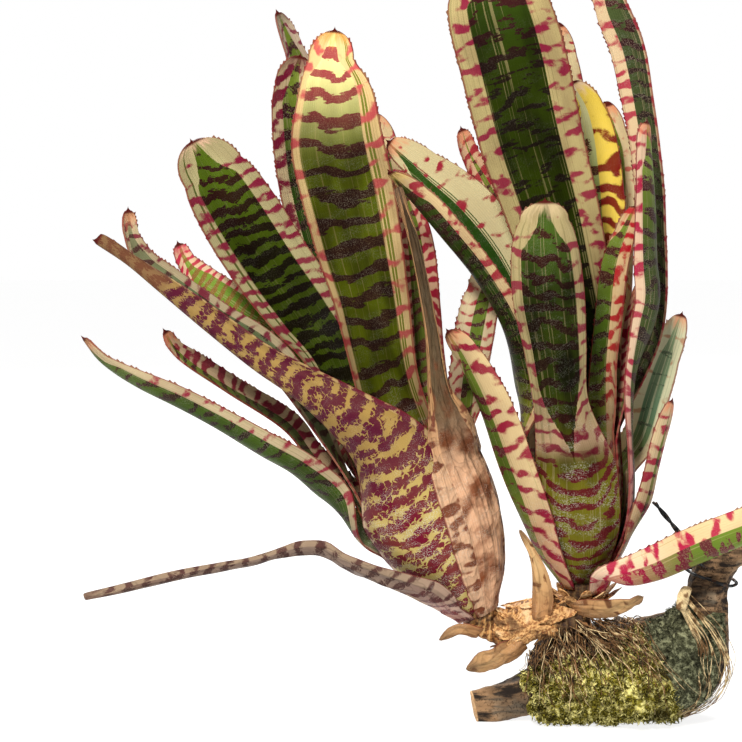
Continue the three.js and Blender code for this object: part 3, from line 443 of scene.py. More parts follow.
def bare_leaf(leaf, margin):
    """The green and the cream without marks."""
    look = leaf.look
    lines = leaf.grain(0.9, 200, 17.0, 1.0).rise(0.6, 0.68)
    green = leaf.colour(look["centre"], look["crest"], leaf.high)
    green = leaf.colour(green, look["foot"], leaf.low)
    green = leaf.colour(green, look["bar"], leaf.slow * 0.14)
    green = leaf.colour(green, look["margin"], lines * look["lines"])
    cream = leaf.colour(look["margin"], look["margin_foot"], leaf.low)
    cream = leaf.colour(cream, look["margin_bar"], leaf.slow * 0.1)
    cream = leaf.colour(cream, look["centre"], lines * look["margin_lines"])
    body = leaf.colour(green, cream, margin)
    for pin in look["pins"]:
        body = leaf.colour(body, look["centre"], abs(leaf.across - pin).rise(0.035, 0.02) * 0.9)
    return body


def mark_colour(leaf, margin, grains):
    """The colour of a bar: dark on the green, red on the margins and towards the tip, with pale specks."""
    look = leaf.look
    marks = leaf.colour(look["bar"], look["foot_bar"], leaf.low)
    marks = leaf.colour(marks, look["margin_bar"], margin * (1 - leaf.low * 0.5))
    marks = leaf.colour(marks, look["margin_bar"], leaf.high * look["glow"] * 0.6)
    return leaf.colour(marks, look["margin"], grains * look["specks"] * (1 - margin) * 0.5)


# %% [markdown]
# Over the bare colours lie the marks, the painted shade of the vase and the scurf, and last the coloured
# tip, the dark rim and the hard point. Living leaf has fine veins in relief, and dead leaf is deeply
# creased, with painted shade along the creases.

# %% The paint of a leaf
MUCRO = tone(84, 30, 26)
# the near-black tone of the painted shade on the leaves
SHADE_TONE = tone(8, 7, 0)
EDGE = tone(112, 40, 38)
SILVER = tone(206, 204, 188)
DRY = tone(122, 92, 62)
VEIN_SPACING = 1.25  # mm
VEIN_DEPTH = 0.00018  # depths of relief are in metres
CREASE_DEPTH = 0.0014


def leaf_finish(leaf):
    look = leaf.look
    bars, margin_bars = leaf_bars(leaf)
    margin = leaf_margin(leaf)
    grains = leaf.grain(0.7, 0.45, 31.0, 3.0).rise(0.5, 0.62)
    marked = bars * (1 - margin) + margin_bars * margin
    marks = mark_colour(leaf, margin, grains)
    body = leaf.colour(bare_leaf(leaf, margin), marks, marked * (0.94 + leaf.slow * 0.06))

    # Painted shade: the leaf darkens to near black, least at its lit far end, its foot and its margins.
    painted_shade_share = (1 - leaf.high * look["glow"]) * (1 - leaf.low * look["foot_glow"]) * (1 - margin * 0.3)
    body = leaf.colour(body, SHADE_TONE, painted_shade_share * look["shade"] * (0.85 + leaf.slow * 0.3))
    dusty = grains * (leaf.grain(12, 5, 41.0).rise(0.42, 0.62) * (0.15 + leaf.low * 0.85))
    body = leaf.colour(body, SILVER, dusty * look["scurf"])

    ragged = leaf.along + (leaf.grain(3, 6, 47.0, 3.0) - 0.5) * 16
    tipped = ragged.rise(leaf.length - look["tip_length"], leaf.length - 2)
    body = leaf.colour(body, look["tip"], tipped * 0.75)
    if look["dry"]:
        dead = ragged.rise(leaf.length - look["dry"] - 3, leaf.length - look["dry"] + 3)
        body = leaf.colour(body, leaf.colour(DRY, MUCRO, bars * 0.6), dead)
        dusty = dusty.greatest(dead)
    body = leaf.colour(body, EDGE, abs(leaf.across).rise(0.965, 0.995) * 0.75)
    body = leaf.colour(body, MUCRO, leaf.along.rise(leaf.length - 4, leaf.length - 2.5) * look["hard"])

    veins = leaf.width.wave(VEIN_SPACING)
    height = veins * 0.35 + leaf.frays * 0.5 + dusty * 0.3 + leaf.slow * 0.4
    depth = VEIN_DEPTH
    if look["creased"]:
        folds = 1 - abs(leaf.grain(10, 60, 53.0, 1.0) - 0.5) * 7
        crumpled = 1 - abs(leaf.grain(9, 11, 59.0, 2.0) - 0.5) * 5
        height = folds * 0.5 + crumpled * 0.5 + veins * 0.04
        depth = CREASE_DEPTH * look["creased"]
        # Painted shade along the creases and crumples of dead leaf.
        body = leaf.colour(body, SHADE_TONE, folds.rise(0.8, 1.0) * 0.3 + crumpled.rise(0.85, 1.0) * 0.2)
    return leaf.close(body, 0.34 + dusty * 0.3 + leaf.slow * 0.1, height, depth, Specular_IOR_Level=0.03)


print("leaf paint is ready")

# %% [markdown]
# The rosettes come next. Each stem has an axis, and round it lie the leaf sheaths in layers, like the
# staves of a vase. The vase's outer radius is known against the height over the stem's foot.

# %% The two rosettes
LAYER_SPACING = 2.2  # mm from one sheath to the next
FOOT_STEP = 3  # height on the stem from one layer's foot to the next
SHEATH_LEVELS = [0, 4, 9, 15, 22, 31, 43, 57, 72, 88]  # heights at which a CAD sheath has its rows
ROUNDING = (-4, -2, 0, 2, 4)  # heights round a point whose radii are averaged


class Rosette:
    """A stem with the vase that its leaf sheaths make."""

    def __init__(self, foot, top, profile):
        self.foot = foot
        self.axis = (top - foot).normalized()
        right = Vector((1, 0, 0))
        self.right = (right - self.axis * right.dot(self.axis)).normalized()
        self.back = self.axis.cross(self.right)
        self.profile = profile

    def radius(self, layer, height):
        """The table's value, rounded off where its lines meet."""
        near = [table_value(self.profile, height + shift) for shift in ROUNDING]
        return sum(near) / len(near) - layer * LAYER_SPACING

    def outward(self, azimuth):
        return self.right * math.cos(azimuth) + self.back * math.sin(azimuth)


left_plant = Rosette(seen(-58.5, 55.5, 0), seen(-98.5, 138, 0), [
    (0, 10), (10, 18), (20, 23.5), (30, 28), (45, 32.5), (60, 35), (80, 35.5), (100, 35.5),
])
right_plant = Rosette(seen(-8.5, 65.5, 0), seen(-11.5, 138, 0), [
    (0, 10), (8, 15), (17, 21.5), (29, 27.5), (40, 30.5), (55, 31.5), (75, 31), (95, 31),
])
print("the left stem leans", round(math.degrees(left_plant.axis.angle(Vector((0, 0, 1))))), "degrees")

# %% [markdown]
# A leaf is a strip whose cross rows are arcs. On the sheath the arcs lie round the stem. On the blade
# they follow keys read from the photograph: place, half width and how far the arc turns from its middle
# to a margin. The tip narrows like the end of an ellipse and ends in a hard point.

# %% The arcs of a leaf


class Row:
    """One arc across a leaf. It has its middle, the leaf's direction there, the side that faces the stem,
    and the arc's half length and half angle."""

    def __init__(self, centre, along, inner, half, angle, wave=0.0, turn=0.0):
        self.centre = centre
        self.along = along
        self.inner = inner
        self.half = half
        self.angle = angle
        self.wave = wave  # how much of the margin's wave it takes part in, from 0 to 1
        self.turn = turn  # its place along the leaf, counted in keys


def sheath_row(plant, shape, height):
    out = plant.outward(math.radians(shape["azimuth"]))
    radius = plant.radius(shape["layer"], height)
    closing = shape.get("wrap_top", shape["wrap"])
    angle = math.radians(mix(shape["wrap"], closing, height / shape["sheath"]))
    centre = plant.foot + plant.axis * height + out * radius
    return Row(centre, plant.axis.copy(), -out, radius * angle, angle)


def aim_rows(keys):
    """Points each key from the one before it to the one after it."""
    for i, key in enumerate(keys):
        before = keys[max(i - 1, 0)].centre
        after = keys[min(i + 1, len(keys) - 1)].centre
        key.along = (after - before).normalized()
    return keys


def blade_keys(shape):
    inner = Vector(shape["inner"]).normalized()
    inner_tip = Vector(shape.get("inner_tip", shape["inner"])).normalized()
    keys = []
    for i, (across, up, depth, half, degrees) in enumerate(shape["blade"]):
        facing = inner.lerp(inner_tip, i / (len(shape["blade"]) - 1)).normalized()
        if i == 0 and "inner_foot" in shape:
            facing = Vector(shape["inner_foot"]).normalized()
        keys.append(Row(seen(across, up, depth), None, facing, half, math.radians(degrees)))
    return aim_rows(keys)


# %% [markdown]
# Between the keys the finished leaf gets a row every few millimetres, and more at the tip, where the
# outline bends most. An ellipse to a power gives both blunt and pointed tips from one formula.

# %% Rows between the keys
ROW_STEP = 2.4  # mm from one row of the finished leaf to the next
TIP_CROWDING = 1.5  # how much closer the rows stand at the tip
MUCRO_LENGTH = 2.0  # mm of hard point
BLUNT_LENGTH = 0.6  # the same on a leaf without one
POINT_SHARES = (0.3, 0.65, 1.0)  # where the point's rows lie
POINT_HALF = 0.12  # mm of half width at the very end


def blade_rows(keys, first, first_turn, taper_power, point):
    """Rows along the smooth curve through the keys, about a row step apart, and the hard point. The tip is
    an ellipse at a power of 1, more pointed above it and blunter below it."""
    rows = []
    last = len(keys) - 1
    centres = [k.centre for k in keys]
    alongs = [k.along for k in keys]
    inners = [k.inner for k in keys]
    halves = [k.half for k in keys]
    angles = [k.angle for k in keys]
    for span in range(first, last):
        at_tip = span == last - 1
        length = (centres[span + 1] - centres[span]).length
        steps = max(2, round(length / ROW_STEP * (TIP_CROWDING if at_tip else 1)))
        for step in range(1, steps + 1):
            share = step / steps
            t = math.sin(share * math.pi / 2) if at_tip else share
            taper = math.sqrt(max(0, 1 - t * t))
            half = smooth(halves, span + t)
            if at_tip:
                half = mix(halves[last], halves[span], taper ** taper_power)
            ramp = share if span == first else 1.0
            rows.append(Row(
                smooth(centres, span + t), smooth(alongs, span + t).normalized(),
                smooth(inners, span + t).normalized(), half, max(0, smooth(angles, span + t)),
                taper * taper if at_tip else ramp, first_turn + span - first + share,
            ))
    end = rows[-1]
    for share in POINT_SHARES:
        rows.append(Row(end.centre + end.along * (point * share), end.along, end.inner,
                        max(end.half * (1 - share), POINT_HALF), end.angle * (1 - share)))
    return rows


def strip_rows(keys, taper_power):
    """Rows of a dry strip that has no sheath."""
    keys[0].wave = 1.0
    return [keys[0]] + blade_rows(keys, 0, 0, taper_power, BLUNT_LENGTH)


# %% [markdown]
# The margins have a slight wave, and a dead leaf is wrinkled all over. Both are added to a row's points,
# because a wave that is part of the shape shows in the outline, which a bump can't do.

# %% Points of a row
MARGIN_WAVE = 0.7
WAVE_TURN = 1.9  # radians of the wave from one key to the next
CREASE_ACROSS = 0.18  # creases in a mm across
CREASE_ALONG = 0.9  # creases from one key to the next
CREASED_HALF = 12  # half width from which the wrinkles have their full depth


def strip_point(row, place, phases, wrinkle, seed):
    """The point of a row at place, from -1 at one margin to 1 at the other."""
    inner = (row.inner - row.along * row.inner.dot(row.along)).normalized()
    side = inner.cross(row.along)
    bend = row.angle / row.half
    turn = place * row.angle
    flat = abs(turn) < 1e-5
    across = place * row.half if flat else math.sin(turn) / bend
    lift = 0 if flat else (1 - math.cos(turn)) / bend
    phase = phases[0] if place < 0 else phases[1]
    ruffle = row.wave * MARGIN_WAVE * abs(place) ** 3 * math.sin(row.turn * WAVE_TURN + phase)
    if wrinkle:
        spot = Vector((place * row.half * CREASE_ACROSS, row.turn * CREASE_ALONG, seed))
        fold = 1 - 2.4 * abs(noise.noise(spot))
        depth = wrinkle * min(1, row.half / CREASED_HALF)
        ruffle += depth * (0.7 * fold + 0.5 * noise.noise(spot * 2.7))
    return row.centre + side * across + inner * (lift + ruffle)


# %% [markdown]
# The strip starts as a flat grid. Its vertices are moved onto the rows, and the solidify operator gives
# it the thickness of a leaf. Poking a good half of the faces of the narrow rim, and pulling each new
# point out, makes the small hard spines that line a neoregelia's leaf.

# %% A leaf from a grid
LEAF_THICKNESS = 0.9
PAPER_THICKNESS = 0.5
COLUMNS = 22
TOOTH_LENGTH = 0.75
TOOTH_SPREAD = (0.6, 1.3)  # shortest and longest tooth, as shares of that
TOOTH_LEAN = 0.8
TOOTH_SHARE = 0.6  # share of the rim's faces that carry a tooth
TOOTHED_WAVE = 0.3  # a row with less of the margin's wave has none


def grow_teeth(bm, rims, rows, row_of, draws):
    """Pokes some faces of the rims out into spines that lean towards the tip."""
    chosen = []
    for face in rims:
        row = int(min(v[row_of] for v in face.verts))
        if rows[row].wave > TOOTHED_WAVE and next(draws) < TOOTH_SHARE:
            chosen.append((face, rows[row].along))
    for face, along in chosen:
        length = TOOTH_LENGTH * mix(*TOOTH_SPREAD, next(draws))
        poked = bmesh.ops.poke(bm, faces=[face], offset=length, center_mode="MEAN")
        bmesh.ops.translate(bm, verts=poked["verts"], vec=along * (length * TOOTH_LEAN))


def leaf_mesh(rows, spines, seed, wrinkle, thickness):
    """The mesh of a leaf, and its length."""
    draws = seeded(seed)
    phases = [2 * math.pi * next(draws), 2 * math.pi * next(draws)]
    lengths = [0.0]
    for before, after in zip(rows, rows[1:]):
        lengths.append(lengths[-1] + (after.centre - before.centre).length)
    bm = bmesh.new()
    row_of = bm.verts.layers.float.new("row")
    side_of = bm.verts.layers.float.new("side")
    leaf_map = bm.loops.layers.uv.new("leaf_map")
    last = len(rows) - 1
    bmesh.ops.create_grid(bm, x_segments=COLUMNS, y_segments=last, size=1.0)
    for vertex in bm.verts:
        vertex[side_of] = vertex.co.x
        vertex[row_of] = round((vertex.co.y + 1) / 2 * last)
    for face in bm.faces:
        for loop in face.loops:
            length = lengths[int(loop.vert[row_of])]
            loop[leaf_map].uv = ((loop.vert[side_of] + 1) / 2, length / MAP_LENGTH)
    for vertex in bm.verts:
        vertex.co = strip_point(rows[int(vertex[row_of])], vertex[side_of], phases, wrinkle, seed)
    bm.normal_update()
    for vertex in bm.verts:
        vertex.co += vertex.normal * (thickness / 2)
    bmesh.ops.solidify(bm, geom=bm.faces[:], thickness=thickness)
    for vertex in bm.verts:
        past = vertex[row_of] - (last - 3)
        if past > 0:  # the point's rows close up towards the middle
            vertex.co = vertex.co.lerp(rows[int(vertex[row_of])].centre, 0.3 * past)
    rims = [f for f in bm.faces if all(abs(v[side_of]) > 0.99 for v in f.verts)]
    rims.sort(key=lambda f: (f.verts[0][side_of], min(v[row_of] for v in f.verts)))  # the same in every run
    for face in rims:
        for edge in face.edges:
            if len({v[row_of] for v in edge.verts}) == 2:
                edge.smooth = False
    if spines:
        grow_teeth(bm, rims, rows, row_of, draws)
    return bm, lengths[-1]


# %% [markdown]
# Every leaf gets its own mesh and its own finish from its rows. The count of leaves so far seeds its
# noise, so no two leaves are marked alike.

# %% One leaf of a rosette
LEAF_SEED = 100
PAINT_SHIFT = 13.7  # from one leaf to the next in the noise
leaf_count = 0


def add_leaf(name, slot, look, rows, sheath, wrinkle, spines, thickness):
    global leaf_count
    leaf_count += 1
    bm, length = leaf_mesh(rows, spines, LEAF_SEED + leaf_count, wrinkle, thickness)
    widest = max(row.half for row in rows)
    paint = LeafPaint(name + "_paint", look, length, sheath, widest, leaf_count * PAINT_SHIFT)
    add_piece(name + "_blade", bm, leaf_finish(paint), slot, name)


def leaf(plant, name, slot, look, wrinkle=0.0, spines=True, taper=1.0, **shape):
    """Grows one leaf of a rosette."""
    foot = shape["layer"] * FOOT_STEP
    top = shape["sheath"]
    steps = round((top - foot) / ROW_STEP)
    sheath = [sheath_row(plant, shape, mix(foot, top, n / steps)) for n in range(steps + 1)]
    levels = [foot] + [level for level in SHEATH_LEVELS if foot + 2 < level < top - 2]
    blade = blade_keys(shape)
    between = (blade[0].centre - sheath[-1].centre).normalized()
    blade[0].along = (blade[0].along + between).normalized()
    keys = [sheath_row(plant, shape, levels[-1]), sheath[-1], *blade]
    point = MUCRO_LENGTH if spines else BLUNT_LENGTH
    rows = sheath + blade_rows(keys, 1, len(levels), taper, point)
    add_leaf(name, slot, look, rows, top - foot, wrinkle, spines, LEAF_THICKNESS)


print("leaves can be grown")

# %% [markdown]
# The oldest leaves are outside. One has withered upright in front, a tan sheath that tapers to a twisted
# stalk; another has withered and hangs out to the left. The marbled leaf clasps the whole front of the
# vase, and its far end has rolled up brown. Dead leaf is the same strip with stronger wrinkles and a dry
# look.

# %% The left rosette, its dead and outermost leaves
leaf(left_plant, "left_withered_front", "withered_tan", wrinkle=2.4, taper=0.6, layer=-0.1, azimuth=320,
     wrap=50, wrap_top=34, sheath=72, inner=(-0.1, 1, 0.1), spines=False,
     look=dict(centre=(98, 80, 58), foot=(216, 168, 132), crest=(70, 58, 42), margin=(176, 134, 92),
               margin_foot=(206, 164, 130), bar=(98, 56, 34), foot_bar=(116, 62, 36),
               margin_bar=(110, 62, 46), tip=(120, 96, 76), spacing=13, regular=0.1, blob=(20, 14),
               cover=0.4, lines=0.1, specks=0.1, scurf=0.25, clear=86, hard=0, shade=0.0, glow=0,
               soft=0.26, creased=1, crest_span=150, cells=0),
     blade=[(-72.5, 148, -36, 11, 60), (-77, 163, -37, 6.5, 75), (-80, 186, -37, 4.5, 90),
            (-84, 209, -37, 4, 100), (-89, 233, -37, 3.4, 100), (-94, 249, -38, 2.6, 90),
            (-97, 259, -38, 1, 40)])
leaf(left_plant, "left_withered_side", "withered_grey", wrinkle=1.4, taper=0.3, layer=0, azimuth=214,
     wrap=40, wrap_top=34, sheath=9, inner=(0.1, 0.6, 0.8), spines=False,
     look=dict(centre=(128, 108, 96), foot=(206, 156, 140), crest=(116, 92, 78), margin=(150, 128, 106),
               margin_foot=(206, 170, 150), bar=(66, 44, 42), foot_bar=(132, 62, 66),
               margin_bar=(84, 54, 50), tip=(110, 84, 72), spacing=9, cover=0.5, margin_cover=0.46,
               scurf=0.3, hard=0, shade=0.1, soft=0.12, creased=0.6, cells=0.6),
     blade=[(-84, 62, -27, 10.5, 45), (-104, 69, -26, 9.5, 55), (-122, 76, -22, 9, 60),
            (-135, 83, -18, 7.5, 70), (-150, 82.5, -15, 5.5, 80), (-170, 77.5, -13, 4.5, 90),
            (-196, 72.5, -11, 4, 90), (-222, 66.5, -9, 4.1, 90), (-247, 61.5, -8, 2.8, 70)])
leaf(left_plant, "left_leaf_marbled", "leaf_marbled", taper=0.4, layer=1, azimuth=260, wrap=70,
     wrap_top=60, sheath=64, inner=(0.2, 0.9, 0.35), inner_tip=(0.3, 0.6, 0.7),
     look=dict(centre=(176, 144, 80), foot=(206, 184, 110), crest=(160, 126, 76), margin=(196, 166, 110),
               margin_foot=(226, 196, 168), bar=(92, 22, 50), foot_bar=(116, 18, 44),
               margin_bar=(104, 28, 52), stripe=(-0.86, 0.86), spacing=9, slant=-0.2, bow=0.1,
               blob=(8, 5), cover=0.74, margin_cover=0.7, scurf=0.55, dry=40, lines=0.1, specks=0.05,
               shade=0.32, cells=1, sway=2.2),
     blade=[(-106, 129, -34.5, 27, 74), (-124, 145, -35, 20.5, 92), (-145, 161, -34, 15.5, 105),
            (-166, 174.5, -31, 13, 110), (-190, 193, -29, 11, 120), (-211, 210, -27, 8.5, 125),
            (-227, 223, -25, 6, 120), (-242, 233, -24, 3.5, 90)])
leaf(left_plant, "left_leaf_lowest", "leaf_green", wrinkle=0.15, layer=1, azimuth=152, wrap=31,
     wrap_top=30, sheath=44, inner_foot=(0.75, -0.2, 0.6), inner=(0.3, 0.45, 0.85),
     look=dict(centre=(78, 104, 34), foot=(122, 124, 84), crest=(96, 116, 50), margin=(206, 186, 146),
               margin_foot=(180, 156, 126), bar=(52, 32, 30), margin_bar=(158, 44, 66),
               stripe=(-1.2, 0.68), spacing=9, cover=0.36, margin_cover=0.36, dry=5, scurf=0.6, slant=0.6,
               clear=24, shade=0.5),
     blade=[(-118.5, 95, 9, 15.6, 31), (-131, 110, 3, 15.6, 44), (-146, 122, -3, 15, 52),
            (-162, 131, -7, 15, 56), (-180, 142, -9, 14.5, 57), (-200, 153, -10, 13, 56),
            (-222, 164, -10, 10, 50), (-238.5, 175, -10, 6.5, 42), (-248, 186.5, -8, 1, 20)])
leaf(left_plant, "left_leaf_far", "leaf_green", layer=1, azimuth=85, wrap=32, sheath=70,
     inner=(0, -0.95, 0.3), spines=False,
     look=dict(spacing=9),
     blade=[(-97, 176, 60, 15, 40), (-99, 210, 84, 17, 35), (-104, 246, 100, 17, 32),
            (-108, 275, 108, 13, 30), (-111, 295, 112, 1, 20)])

# %% [markdown]
# Behind the front ones stand leaves that show only an edge, a tip or a strip of cream margin. They are
# grown in full all the same, because the plant is looked at from every side.

# %% The left rosette, its middle leaves
leaf(left_plant, "left_leaf_edge_on", "leaf_dark", layer=2, azimuth=98, wrap=26, sheath=76,
     inner=(0.1, -1, 0.1), inner_tip=(0.75, -0.6, 0.2),
     look=dict(centre=(80, 92, 60), margin=(196, 176, 152), margin_bar=(128, 50, 70), stripe=(-0.6, 0.5),
               spacing=8, tip=(120, 110, 90)),
     blade=[(-109, 181, 52, 12, 40), (-121, 224, 68, 12, 40), (-132, 263, 75, 11.5, 40),
            (-140, 301, 76, 10, 40), (-148, 325, 74, 7, 40), (-155, 343, 70, 1, 20)])
leaf(left_plant, "left_leaf_low", "leaf_pale", layer=2, azimuth=162, wrap=18, sheath=74,
     inner=(0.3, -0.5, 0.8),
     look=dict(centre=(78, 88, 44), margin=(206, 178, 142), margin_bar=(134, 34, 56), stripe=(0.0, 1.2),
               spacing=7, margin_cover=0.52),
     blade=[(-136, 128.5, 3, 7, 34), (-150, 146, 7, 8, 35), (-178, 163, 8, 7.5, 35),
            (-195, 174, 8, 7, 35), (-204, 182, 8, 5, 35), (-209, 190, 7, 1, 20)])
leaf(left_plant, "left_leaf_right", "leaf_pale", layer=2, azimuth=10, wrap=34, sheath=76,
     inner=(-0.5, -0.8, 0.2),
     look=dict(centre=(100, 128, 40), margin=(216, 198, 160), margin_bar=(170, 44, 62),
               stripe=(-0.3, 0.35), spacing=7),
     blade=[(-63, 163, 14, 11, 35), (-58.5, 191, 24, 11.5, 32), (-54.5, 210, 32, 10, 32),
            (-52.5, 226, 38, 1, 20)])
leaf(left_plant, "left_leaf_shaded", "leaf_green", layer=3, azimuth=129, wrap=24, sheath=80,
     inner=(0.3, -0.85, 0.4),
     look=dict(centre=(84, 118, 30), crest=(128, 160, 60), margin=(226, 196, 160),
               margin_bar=(190, 46, 74), bar=(126, 104, 44), stripe=(-0.66, 0.5), spacing=4.2, cover=0.5,
               tip=(200, 60, 90), shade=0.15, blob=(9, 2), regular=0.6, margin_cover=0.5, cells=0.1,
               sway=2),
     blade=[(-149, 181, 40, 12, 38), (-173, 200, 46, 11.5, 36), (-190, 212.5, 49, 9.5, 34),
            (-199, 223.5, 50, 5, 34), (-202.5, 232, 50, 1, 20)])
leaf(left_plant, "left_leaf_hooked", "leaf_pale", layer=3, azimuth=183, wrap=13, sheath=81,
     inner=(0.35, -0.75, 0.55),
     look=dict(centre=(118, 134, 90), crest=(140, 142, 104), margin=(196, 180, 142),
               margin_bar=(128, 46, 62), bar=(74, 46, 44), stripe=(-0.6, 0.6), dry=4),
     blade=[(-153, 172, -2, 9.5, 40), (-187, 197, -6, 10, 42), (-208.5, 213.5, -9, 8.5, 45),
            (-219.5, 223.5, -9, 6.5, 50), (-225.5, 236, -9, 4.5, 50), (-226.5, 248, -9, 1, 20)])

# %% [markdown]
# The inner leaves are the broad upright ones. The tallest is yellow-green with brown-purple bars; the
# broad one beside it is green with nearly black marks that break up into spots.

# %% The left rosette, its inner leaves
leaf(left_plant, "left_leaf_barred", "leaf_dark", layer=4, azimuth=100, wrap=33, sheath=82,
     inner=(0.15, -0.95, 0.1),
     look=dict(centre=(46, 74, 20), margin=(200, 182, 142), margin_bar=(116, 22, 52), bar=(40, 18, 24),
               stripe=(-0.5, 0.55), spacing=11, cover=0.5, margin_cover=0.6, blob=(6, 4),
               tip=(96, 40, 52), cells=0.5, sway=2.0),
     blade=[(-119, 186, 41, 14, 48), (-132, 224.5, 50, 14.5, 36), (-140.5, 258, 54, 15, 30),
            (-144.5, 287, 54, 14.5, 28), (-147, 308, 53, 10, 26), (-144, 322, 51, 1, 20)])
leaf(left_plant, "left_leaf_red_barred", "leaf_marbled", layer=5, azimuth=35, wrap=34, sheath=84,
     inner=(-0.3, -0.9, 0.1),
     look=dict(centre=(92, 108, 34), margin=(214, 176, 142), margin_bar=(158, 34, 56), bar=(84, 26, 34),
               stripe=(-0.3, 0.5), spacing=6.5, margin_cover=0.56),
     blade=[(-82.5, 172, 23, 11, 42), (-85, 200.5, 30, 10.5, 36), (-87.5, 229.5, 35, 9.5, 32),
            (-91, 248.5, 38, 6.5, 30), (-96, 263, 39, 1, 20)])
leaf(left_plant, "left_leaf_broad", "leaf_dark", layer=5, azimuth=145, wrap=40, sheath=80,
     inner=(0.35, -0.9, 0.25),
     look=dict(centre=(66, 84, 12), foot=(64, 84, 26), crest=(88, 112, 24), margin=(186, 176, 128),
               margin_foot=(136, 122, 84), bar=(16, 5, 6), foot_bar=(36, 18, 18),
               margin_bar=(136, 30, 60), tip=(206, 166, 140), stripe=(-0.6, 0.58), spacing=7.5,
               slant=-0.5, blob=(8, 3.4), cover=0.64, margin_cover=0.5, tip_length=8, lines=0.1,
               specks=0.05, scurf=0.15, pins=(0.7,), shade=0.5, cells=0.45, clear=17, sway=2.4),
     blade=[(-126, 172, 24, 18.5, 52), (-143, 198, 30, 21.5, 40), (-158.5, 220, 32, 22.5, 34),
            (-175, 246, 33, 22, 30), (-187, 265.5, 33, 17.5, 28), (-196, 281, 32, 1, 16)])
# Its pale far end, kept out of the painted shade, is partly its own colour and partly painted light.
leaf(left_plant, "left_leaf_tall", "leaf_yellow", taper=1.25, layer=6, azimuth=78, wrap=50, sheath=84,
     inner=(-0.05, -1, 0.1),
     look=dict(centre=(104, 116, 14), foot=(150, 150, 40), crest=(246, 238, 160), margin=(226, 196, 136),
               margin_foot=(172, 136, 90), bar=(58, 22, 28), foot_bar=(92, 26, 44),
               margin_bar=(196, 84, 84), tip=(222, 150, 70), stripe=(-0.58, 0.82), spacing=12, slant=0.05,
               bow=-0.3, regular=0.6, blob=(16, 3), margin_cover=0.34, scurf=0.3, specks=0.22,
               pins=(-0.66, -0.74), shade=0.7, glow=1, foot_glow=0.1, cells=0.1, sway=1.8),
     blade=[(-102, 166, 20, 18.5, 60), (-109.5, 205.5, 18, 20, 45), (-115, 229.5, 16, 22, 36),
            (-121, 257, 15, 23.5, 32), (-126, 281, 15, 23, 30), (-127, 305, 15, 18.5, 30),
            (-129, 320, 16, 11.5, 34), (-127.5, 334.5, 17, 1, 16)])

# %% [markdown]
# The right rosette is paler. Its outer leaves are mostly cream with crimson bars, and one droops to the
# lower right over the wood.

# %% The right rosette, its outer leaves
leaf(right_plant, "right_leaf_drooping", "leaf_pale", layer=0, azimuth=318, wrap=38, wrap_top=40,
     sheath=8, inner=(-0.2, 0.9, 0.5),
     look=dict(foot=(226, 140, 128), margin=(222, 196, 146), margin_foot=(238, 206, 178),
               margin_bar=(176, 20, 66), bar=(92, 26, 44), foot_bar=(186, 20, 70), stripe=(-0.4, 1.2),
               spacing=12, regular=0.35, cover=0.44, margin_cover=0.44, shade=0.05, foot_span=62,
               scurf=0.3),
     blade=[(9, 70, -24, 11.5, 45), (27, 74.5, -28, 13, 52), (45, 82.5, -32, 14, 55),
            (62, 89.5, -35, 14, 55), (78, 95.5, -37, 12.5, 52), (91, 99.5, -38, 9, 46),
            (103, 103, -38, 1, 20)])
leaf(right_plant, "right_leaf_low_left", "leaf_pale", layer=1, azimuth=214, wrap=29, wrap_top=26,
     sheath=28, inner=(0.55, 0.75, 0.3),
     look=dict(centre=(92, 116, 40), margin=(216, 190, 140), margin_foot=(210, 166, 128),
               margin_bar=(148, 28, 56), foot_bar=(150, 30, 60), bar=(96, 24, 44), stripe=(-0.95, -0.15),
               spacing=11, cover=0.4, margin_cover=0.44, dry=5),
     blade=[(-35.5, 109.5, -21, 10.5, 32), (-43, 129, -21, 10.5, 34), (-50, 148, -20, 10.5, 36),
            (-57, 164.5, -19, 10, 38), (-65, 179, -17, 7.5, 42), (-73, 190, -14, 1, 20)])
leaf(right_plant, "right_leaf_low_right", "leaf_pale", layer=1, azimuth=345, wrap=26, wrap_top=20,
     sheath=26, inner=(-0.75, 0.6, 0.2),
     look=dict(centre=(160, 150, 96), margin=(218, 192, 150), margin_bar=(166, 34, 62),
               stripe=(-0.2, 0.1), spacing=8, margin_cover=0.46),
     blade=[(22, 107, -9, 8, 34), (26.5, 124, -8, 8, 34), (30, 138, -5, 7, 34), (34.5, 156.5, 0, 1, 20)])
leaf(right_plant, "right_leaf_outer_pale", "leaf_pale", layer=1, azimuth=40, wrap=22, sheath=54,
     inner=(-0.5, -0.75, 0.4),
     look=dict(centre=(86, 122, 96), crest=(140, 160, 122), margin=(206, 206, 170),
               margin_bar=(180, 140, 110), bar=(70, 100, 80), stripe=(-0.4, 0.45), cover=0.16,
               margin_cover=0.14, lines=0.7, scurf=0.1, shade=0.1),
     blade=[(19.5, 138, 22, 10.5, 34), (25.5, 157.5, 25, 10.5, 34), (31.5, 176.5, 28, 8.5, 34),
            (39, 198, 31, 1, 20)])
leaf(right_plant, "right_leaf_narrow_back", "leaf_pale", layer=1, azimuth=84, wrap=19, sheath=70,
     inner=(0.1, -1, 0.2), spines=False,
     look=dict(centre=(130, 140, 70), margin=(220, 204, 160), margin_bar=(166, 44, 62),
               stripe=(-0.3, 0.3), spacing=7),
     blade=[(-5, 191, 45, 9, 30), (-10, 244, 56, 9.5, 30), (-13.5, 287, 56, 9, 30), (-18, 321, 52, 7, 30),
            (-21.5, 338, 47, 1, 20)])
leaf(right_plant, "right_leaf_far", "leaf_green", layer=1, azimuth=130, wrap=22, sheath=66,
     inner=(0.1, -0.9, 0.4), spines=False,
     look=dict(spacing=8),
     blade=[(-23, 181, 50, 14, 36), (-27, 219, 74, 16, 34), (-31, 252, 90, 16, 32),
            (-34, 278, 98, 12, 30), (-36, 294, 101, 1, 20)])

# %% [markdown]
# The front leaf of this rosette is green with fine pale lines and soft purple bars. The others lean out
# to both sides; the striped one is cream with a few narrow green bands.

